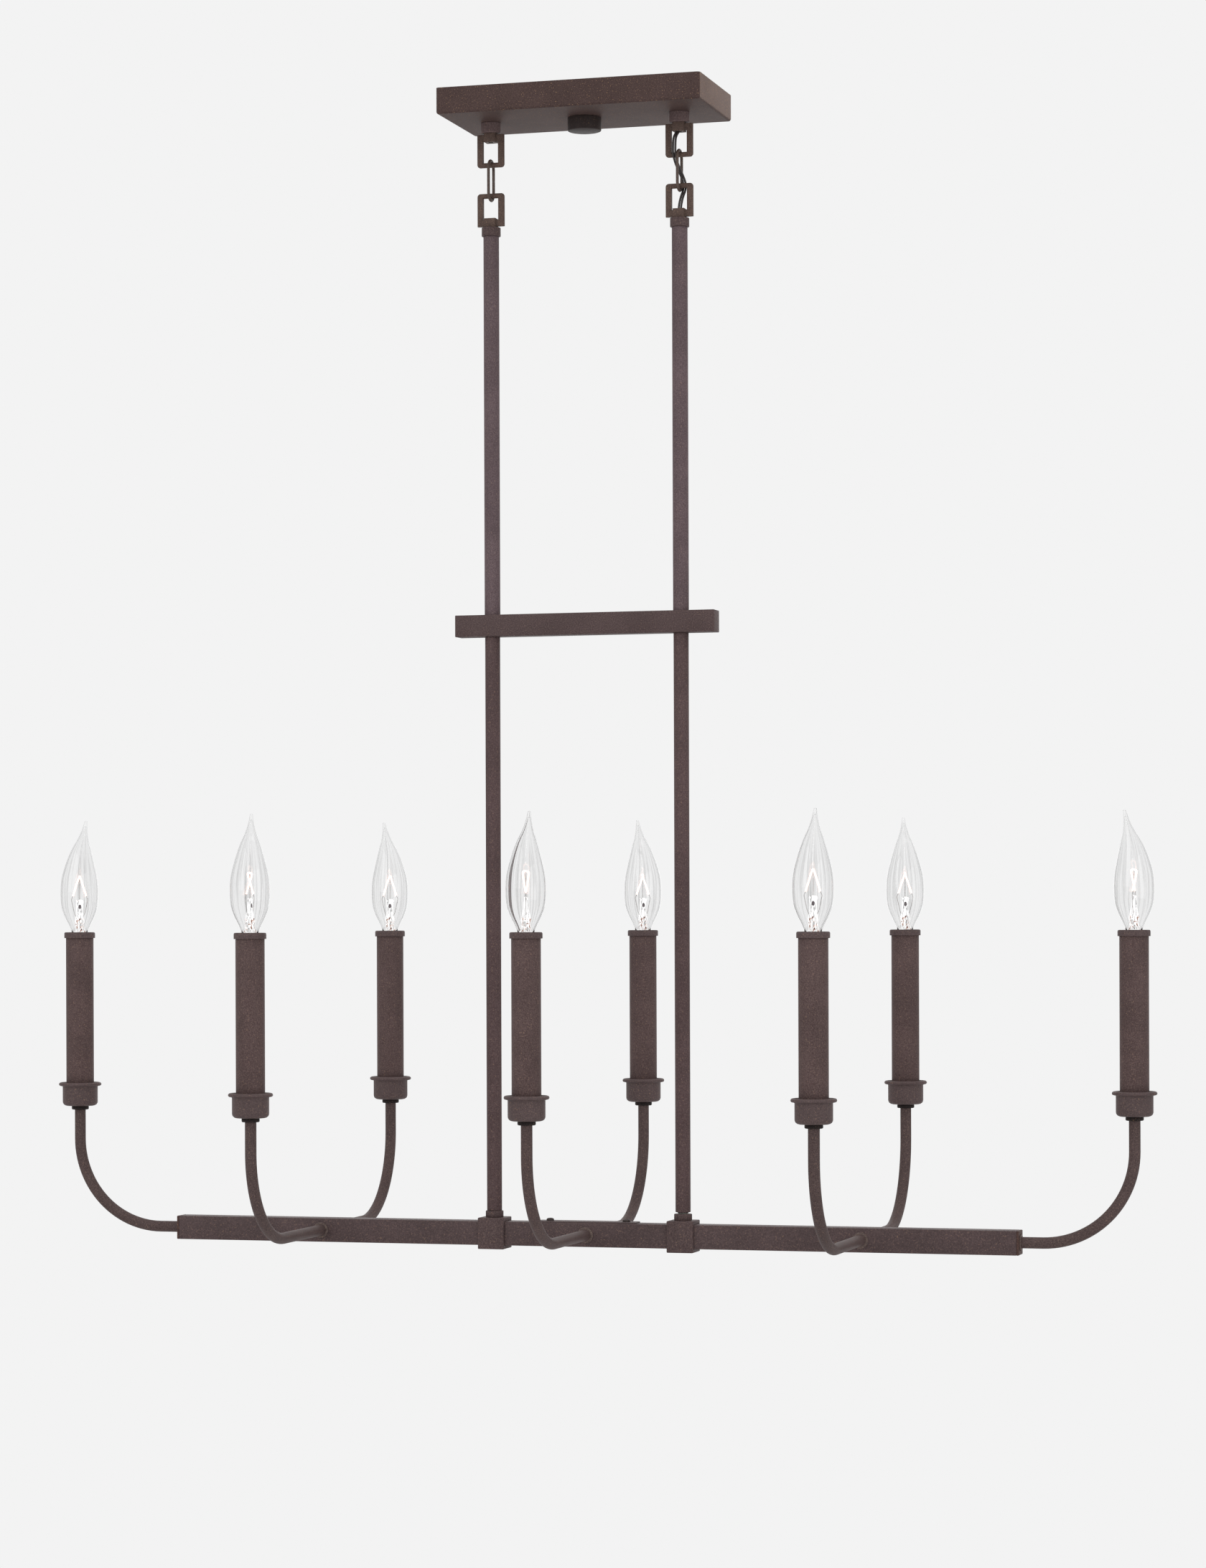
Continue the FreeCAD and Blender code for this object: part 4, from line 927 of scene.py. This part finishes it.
radius, height = SCREW_HEAD
screw_outline = [(0, SCREW_SHANK[1]), SCREW_SHANK, (SCREW_SHANK[0], 0)]
screw_outline += [(radius - HEAD_BREAK, 0), (radius, HEAD_BREAK * 2)]
flat_top = radius * 0.35
for k in range(1, HEAD_STEPS + 1):
    turn = math.pi / 2 * k / HEAD_STEPS
    dome = flat_top + (radius - flat_top) * math.cos(turn)
    screw_outline.append((dome, height * (0.3 + 0.7 * math.sin(turn))))
screw_outline.append((0, height))
screw = turned("cover_screw", screw_outline, steps=32, crease=40)
cross = bmesh.new()
long, wide, deep = RECESS
for size in ((long, wide, deep), (wide, long, deep)):
    made = bmesh.ops.create_cube(cross, size=1)
    bmesh.ops.scale(cross, vec=size, verts=made["verts"])
cutter = moved(plain_piece("cross_cutter", cross), 0, 0, height + RECESS_RISE)
recess = screw.modifiers.new("recess", "BOOLEAN")
recess.object = cutter
recess.operation = "DIFFERENCE"
recess.solver = "EXACT"
recess.use_self = True
settled(screw)
bpy.data.objects.remove(cutter)
top = BAR_HIGH + COVER_SHEET
screw_places = [(-SCREW_SPREAD, 0, top, 0.5), (SCREW_SPREAD, 0, top, 1.1)]
dark_screw = coated("screw_coat", (52, 44, 43), (78, 70, 68))
spread("pan_head_screws", screw, screw_places, dark_screw, "cover_screws")


# --- Arms ---
# Eight lengths of round tube, each bent a quarter turn: out of the bar, then up into a cup.
# A thin washer sits where each one leaves the bar, and a foot washer carries its cup.
ARM_TUBE = (0.00515, 0.0824, 32, 28)
AXIS = -1.0522
ARM_TOP = -0.9325
ARM_SPACING = 0.258
SIDE_REACH = 0.191
END_CUP = 0.505
END_START = 0.0075
SIDE_START = 0.003
WASHER_SHEET = 0.001
WASHER = (0.0074, 0, WASHER_SHEET, 0.0052, 0.0002)
FOOT = (0.0081, -0.9421, -0.9385, 0.0053, 0.0009)
CUP_PLACES = [(-END_CUP, 0), (END_CUP, 0)]
CUP_PLACES += [(step * ARM_SPACING, -SIDE_REACH) for step in (-1, 0, 1)]
CUP_PLACES += [(step * ARM_SPACING, SIDE_REACH) for step in (-1, 0, 1)]


def arm_line(x, y):
    """The three corner points of the arm that carries the cup at this place."""
    start = (x, math.copysign(SIDE_START, y))
    if y == 0:
        start = (math.copysign(BAR_HALF - END_START, x), 0)
    return [(*start, AXIS), (x, y, AXIS), (x, y, ARM_TOP)]


def at_cups(height, turns=(0,) * len(CUP_PLACES)):
    """The place over each cup at one height, each turned by its own angle in degrees."""
    return [(x, y, height, math.radians(turn)) for (x, y), turn in zip(CUP_PLACES, turns)]


arm_coat = coated("arm_coat", (68, 55, 54), (94, 79, 77), sheen=0.12)
lines = [arm_line(x, y) for x, y in CUP_PLACES]
arms = bent_tubes("bent_arms", lines, arm_coat, ARM_TUBE)
fit(arms, arm_coat, "end_arms", "front_arms", "back_arms")

bm = bmesh.new()
for x, y in CUP_PLACES:
    washer = turned("washer", sleeve_outline(*WASHER), steps=40)
    if y == 0:
        washer.data.transform(Matrix.Rotation(math.pi / 2, 4, "Y"))
        moved(washer, BAR_HALF if x > 0 else -BAR_HALF - WASHER_SHEET, 0, AXIS)
    else:
        washer.data.transform(Matrix.Rotation(-math.pi / 2, 4, "X"))
        moved(washer, x, BAR_DEPTH if y > 0 else -BAR_DEPTH - WASHER_SHEET, AXIS)
    bm.from_mesh(washer.data)
    bpy.data.objects.remove(washer)
washer_coat = coated("washer_coat", (76, 62, 59), (108, 93, 87), sheen=0.3)
fit(plain_piece("pressed_arm_washers", bm), washer_coat, "arm_washers")

foot = turned("foot", sleeve_outline(*FOOT), steps=40)
# The foot washers are coloured near black: painted shade under the cups that overhang them.
foot_painted_shade_coat = coated("foot_painted_shade_coat", (26, 21, 21), (46, 38, 37))
spread("turned_cup_feet", foot, at_cups(0), foot_painted_shade_coat, "cup_feet")


# --- Candle cups ---
# Spun steel cups: a round-shouldered bottom, a straight wall, then a flare to a rolled rim.
# Each stands on its arm's foot washer. The section is in millimetres from the cup's base.
CUP_BASE = -0.9385
CUP_SECTION = (
    (5.3, 0), (12.6, 0), (14.2, 0.4), (15.6, 1.4), (16.35, 2.6), (16.6, 4.0), (16.6, 18.0),
    (16.75, 18.5), (17.3, 18.8), (18.4, 18.9), (19.4, 19.2), (20.0, 19.9), (20.1, 20.6),
    (19.9, 21.4), (19.2, 22.1), (18.3, 22.4), (17.4, 22.1), (16.6, 21.3), (15.8, 20.2),
    (15.4, 19.0), (15.4, 1.2), (5.3, 1.2),
)


def in_metres(rows):
    """Rows of millimetres in metres."""
    return [tuple(value / 1000 for value in row) for row in rows]


cup = turned("cup", in_metres(CUP_SECTION), steps=64, crease=50)
cup_coat = coated("cup_coat", (71, 57, 57), (93, 78, 77), glints=0.4, sheen=0.25)
spread("spun_cups", cup, at_cups(CUP_BASE), cup_coat, "candle_cups")


# --- Candle sleeves and rings ---
# A thin tube stands in each cup round the lamp socket. A pressed ring caps it and closes in
# on the bulb's neck; through its hole the black socket shows.
SLEEVE = (0.01305, -0.9373, -0.7743, 0.01185, 0.0002)
RING_TOP = -0.7729
RING_SECTION = (
    (10.2, -1.2), (10.2, -0.5), (10.6, 0), (13.4, 0), (14.1, -0.25), (14.5, -0.9), (14.6, -1.6),
    (14.6, -5.1), (14.45, -5.6), (13.15, -5.6), (13.15, -1.4), (10.4, -1.4),
)
sleeve_coat = coated("sleeve_coat", (74, 58, 57), (99, 82, 80), clouds=0.7)
sleeve = turned("sleeve", sleeve_outline(*SLEEVE), steps=64)
spread("candle_tubes", sleeve, at_cups(0), sleeve_coat, "candle_sleeves")
ring = turned("ring", in_metres(RING_SECTION), steps=64, crease=40)
spread("pressed_rings", ring, at_cups(RING_TOP), cup_coat, "sleeve_rings")


# --- Lamp sockets and bulb bases ---
# Moulded black sockets on steel stems hold the bulbs' brass screw bases. They stand inside
# the sleeves, out of sight but for the socket's mouth in the ring.
black_plastic = moulded_finish("socket_plastic", (26, 24, 24), (40, 37, 36), 0.35)
dressed(black_plastic, "lamp_sockets")
dressed(plated("brass", (206, 168, 96), (168, 130, 68), 500), "bulb_bases")


# --- Bulb glasses ---
# Clear blown flames with a wall under a millimetre. The hollow narrows into a tip that is
# drawn out thin and aside to a small solid bead, and each bulb is screwed home at its own
# angle. The tables are in millimetres: height, then radius or the bend's way aside.
GLASS_WALL = 0.8
GLASS_STEPS = 40
BULB_FOOT = -4
BULB_RADII = (
    (-4.0, 6.6), (-2.0, 7.0), (0, 7.4), (6, 9.6), (15, 14.0), (24, 17.0), (38, 17.9), (50, 17.1),
    (62, 14.4), (74, 10.8), (82, 7.9), (86, 6.1), (90, 4.7), (94, 3.5), (98, 2.5), (102, 1.8),
    (105, 1.4),
)
HOLLOW_TOP = (
    (62, 13.6), (74, 10.0), (82, 7.1), (86, 5.3), (90, 3.9), (94, 2.7), (98, 1.7), (101, 0.8),
)
TIP_BEAD = ((105.6, 1.35), (106.1, 1.1), (106.4, 0.6))
BEND = ((0, 0), (50, 0), (62, 0.5), (74, 1.6), (82, 3.0), (93, 5.5), (104, 7.7), (107, 8.2))
LEANS = (62, 196, 99, 83, 88, 151, 143, 111)


def smooth_value(table, at):
    """The value of an even curve through a table's points."""
    last = len(table) - 1
    i = max(k for k in range(last) if table[k][0] <= at or k == 0)
    (x0, y0), (x1, y1) = table[i], table[i + 1]

    def slope(k):
        before, after = table[max(k - 1, 0)], table[min(k + 1, last)]
        return (after[1] - before[1]) / (after[0] - before[0])

    span = x1 - x0
    t = min(max((at - x0) / span, 0), 1)
    rise = (y1 - y0) * t * t * (3 - 2 * t)
    bow = slope(i) * (t * t * t - 2 * t * t + t) + slope(i + 1) * (t * t * t - t * t)
    return y0 + rise + bow * span


def bulb_rings(radii, count):
    """Rings up the flame, closer at both ends, each a circle about the bent middle line."""
    rings = []
    for k in range(count + 1):
        share = k / count
        rise = (radii[-1][0] - BULB_FOOT) * (share - 0.06 * math.sin(math.tau * share))
        height = BULB_FOOT + rise
        radius = smooth_value(radii, height) / 1000
        aside = smooth_value(BEND, height) / 1000
        rings.append(circle(radius, height / 1000, GLASS_STEPS, aside))
    return rings


def bulb_glass():
    """The outer wall up to its bead and the inner wall, joined round the foot."""
    outer = bulb_rings(BULB_RADII, 52)
    aside = smooth_value(BEND, TIP_BEAD[-1][0]) / 1000
    outer += [circle(radius, height, GLASS_STEPS, aside) for height, radius in in_metres(TIP_BEAD)]
    start = HOLLOW_TOP[0][0]
    hollow = [(height, radius - GLASS_WALL) for height, radius in BULB_RADII if height < start]
    inner = bulb_rings((*hollow, *HOLLOW_TOP), 50)
    bm = bmesh.new()
    feet = []
    around = []
    for rings in (outer, inner):
        loops = stood(bm, rings)
        for ring in rings:
            for x, y, _ in circle(1, 0, GLASS_STEPS):
                around += [x, y, ring[0][2]]
        for a, b in zip(loops, loops[1:]):
            laced(bm, a, b)
        bm.faces.new(loops[-1])
        feet.append(loops[0])
    laced(bm, *feet)
    piece = plain_piece("bulb_glass", bm, crease=80)
    piece.data.attributes.new("around", "FLOAT_VECTOR", "POINT").data.foreach_set("vector", around)
    return piece


def glass_finish():
    """Clear glass with fine blown streaks, and painted shade where the wall is seen edge on: a dark
    rim that widens towards the tip.
    """
    clear = {"IOR": 1.47, "Transmission_Weight": 1.0, "Roughness": 0.0}
    material, tree = new_finish("bulb_glass", **clear)
    around = add(tree, "ShaderNodeAttribute", attribute_name="around").outputs["Vector"]
    height = add(tree, "ShaderNodeSeparateXYZ", {0: around}).outputs["Z"]
    streak = ranged(tree, noise(tree, 9, 1, (1, 1, 1.4), around), 0.54, 0.66)
    body = blended(tree, streak, grey(0.96), grey(0.8))
    # Painted shade: the colour darkens to near black where the wall is seen edge on, and from lower
    # down towards the tip.
    edge = add(tree, "ShaderNodeLayerWeight", {"Blend": 0.5}).outputs["Facing"]
    start = ranged(tree, height, 0.085, 0.1, 0.5, 0.2)
    rise = sum_up(tree, "SUBTRACT", edge, start)
    rim = sum_up(tree, "DIVIDE", rise, sum_up(tree, "SUBTRACT", 0.97, start), True)
    painted_rim_shade = sum_up(tree, "POWER", rim, 1.5)
    return surfaced(material, Base_Color=blended(tree, painted_rim_shade, body, grey(0.06)))


clear_glass = glass_finish()
bulb_places = at_cups(RING_TOP, LEANS)
spread("blown_bulbs", bulb_glass(), bulb_places, clear_glass, "bulbs", slot="bulb_glass")


# --- Bulb mounts ---
# Inside each bulb stands a drawn glass stem: a flared foot, a bulge, and a flat pinched head
# with the hole that the air went out by. It glows a little of itself, painted light that stands
# in for the filament's light on it, so it is nearly white.
MOUNT_SECTION = (
    (0, -3.0), (5.7, -3.0), (6.0, 0), (5.4, 2.0), (4.4, 4.5), (3.9, 7.5), (4.5, 9.0), (4.8, 10.4),
    (4.5, 12.0), (3.9, 14.0), (3.6, 16.0), (3.1, 19.0), (3.0, 21.0), (3.1, 25.0), (3.4, 27.0),
    (3.9, 28.6), (4.0, 29.6), (3.2, 30.5), (1.5, 31.0), (0, 31.1),
)
PINCH_START = 0.018
PINCH_LENGTH = 0.008
PINCH_FLAT = 0.5
HOLE = (0, -0.0016, 0.0242)
HOLE_SCALE = (700, 500, 430)
FILAMENT_TURNS = (30, 88, 80, 107, 14, 19, 38, 24)


def mount_finish():
    """Drawn glass with a painted glow, long streaks, painted shade in its hole, and the copper
    leads broken up in it.
    """
    # Painted light: the stem glows a little in its own colours, for the filament's light on it.
    painted_glow = {"IOR": 1.5, "Transmission_Weight": 0.2, "Emission_Strength": 0.55}
    material, tree = new_finish("mount_glass", **painted_glow)
    own = add(tree, "ShaderNodeAttribute", attribute_name="own").outputs["Vector"]
    streak = noise(tree, 900, 2, (1, 1, 0.1), own)
    cloudy = blended(tree, ranged(tree, streak, 0.5, 0.62), grey(0.97), grey(0.3))
    height = add(tree, "ShaderNodeSeparateXYZ", {0: own}).outputs["Z"]
    low = ranged(tree, height, 0.013, 0.016, 1, 0.45)
    mark = sum_up(tree, "MULTIPLY", noise(tree, 560, 2, (1, 1, 0.6), own), low)
    copper = blended(tree, ranged(tree, mark, 0.61, 0.64), cloudy, paint(214, 150, 116))
    leads = blended(tree, ranged(tree, mark, 0.64, 0.67), copper, paint(60, 30, 28))
    # The hole is painted as a dark spot: painted shade in the recess.
    hole_shade_oval = vector_sum(tree, "MULTIPLY", vector_sum(tree, "SUBTRACT", own, HOLE)[0], HOLE_SCALE)
    reach = vector_sum(tree, "LENGTH", hole_shade_oval[0])["Value"]
    tint = blended(tree, ranged(tree, reach, 0.85, 1.05, 1, 0), leads, paint(40, 26, 30))
    looks = {"Base_Color": tint, "Emission_Color": tint}
    looks["Roughness"] = ranged(tree, streak, 0.3, 0.7, 0.08, 0.3)
    return surfaced(material, streak, 0.0002, **looks)


mount_painted_glow = mount_finish()
mount = turned("mount", in_metres(MOUNT_SECTION), steps=28, crease=60)
own = []
for vertex in mount.data.vertices:
    pinch = min(max((vertex.co.z - PINCH_START) / PINCH_LENGTH, 0), 1)
    vertex.co.y *= 1 - PINCH_FLAT * pinch
    own.extend(vertex.co)
mount.data.attributes.new("own", "FLOAT_VECTOR", "POINT").data.foreach_set("vector", own)
mount_places = at_cups(RING_TOP, FILAMENT_TURNS)
spread("drawn_mounts", mount, mount_places, mount_painted_glow, "bulb_mounts", slot="mount_glass")


# --- Lead wires ---
# Two nickel wires spread from the stem and hold the filament's ends in small hooks. A third,
# straight up from the pinched head, holds its middle.
LEAD_TUBE = (0.00024, 0.0012, 8, 4)
SIDE_LEAD = ((3.2, 0, 14.0), (5.0, 0, 18.0), (7.8, 0, 31.0), (6.3, 0, 34.6))
MIDDLE_LEAD = ((0, 0, 30.5), (0.2, 0, 42.0), (0, 0, 53.0))
nickel = plated("lead_nickel", (206, 202, 198), (120, 112, 108), 900)
lines = [in_metres([(side * x, y, z) for x, y, z in SIDE_LEAD]) for side in (-1, 1)]
lead = bent_tubes("leads", [*lines, in_metres(MIDDLE_LEAD)], nickel, LEAD_TUBE)
spread("filament_leads", lead, mount_places, nickel, slot="bright_steel")


# --- Filaments ---
# A coiled tungsten wire that climbs from one lead's hook over the middle wire and down to the
# other, a tent from the front and a V from the side. It glows white with a warm fringe.
COIL_RADIUS = 0.0007
COIL_PITCH = 0.0009
COIL_STEPS = 6
COIL_WIRE = (0.0003, 0.00001, 4, 1)
TENT = (
    (-6.3, 0, 34.4), (-3.6, -1.4, 43.5), (-1.0, -2.8, 51.6), (-0.4, -2.0, 53.0),
    (0.4, 2.0, 53.6), (1.0, 2.8, 52.0), (3.6, 1.4, 43.5), (6.3, 0, 34.4),
)


def coil_points(corners):
    """A fine helix about the smooth line through a filament's corners."""
    line = spline_points(in_metres(corners))
    length = sum((b - a).length for a, b in zip(line, line[1:]))
    count = int(length / COIL_PITCH * COIL_STEPS)
    points = []
    walked = 0.0
    i = 0
    for k in range(count):
        target = length * k / count
        while walked + (line[i + 1] - line[i]).length < target:
            walked += (line[i + 1] - line[i]).length
            i += 1
        ahead = (line[i + 1] - line[i]).normalized()
        at = line[i] + ahead * (target - walked)
        side = ahead.cross(Vector((0, 1, 0))).normalized()
        turn = math.tau * k / COIL_STEPS
        out = side * math.cos(turn) + side.cross(ahead) * math.sin(turn)
        points.append(at + out * COIL_RADIUS)
    return points


def glow_finish():
    """White heat with a pink and orange fringe at its edges."""
    material, tree = new_finish("filament_glow", Roughness=0.4, Emission_Strength=1.6)
    edge = add(tree, "ShaderNodeLayerWeight", {"Blend": 0.4}).outputs["Facing"]
    tint = blended(tree, edge, paint(255, 246, 240), paint(255, 176, 146))
    return surfaced(material, Base_Color=tint, Emission_Color=tint)


filament_glow = glow_finish()
filament = bent_tubes("filament", [coil_points(TENT)], filament_glow, COIL_WIRE)
spread("coiled_filaments", filament, mount_places, filament_glow, slot="bright_steel")
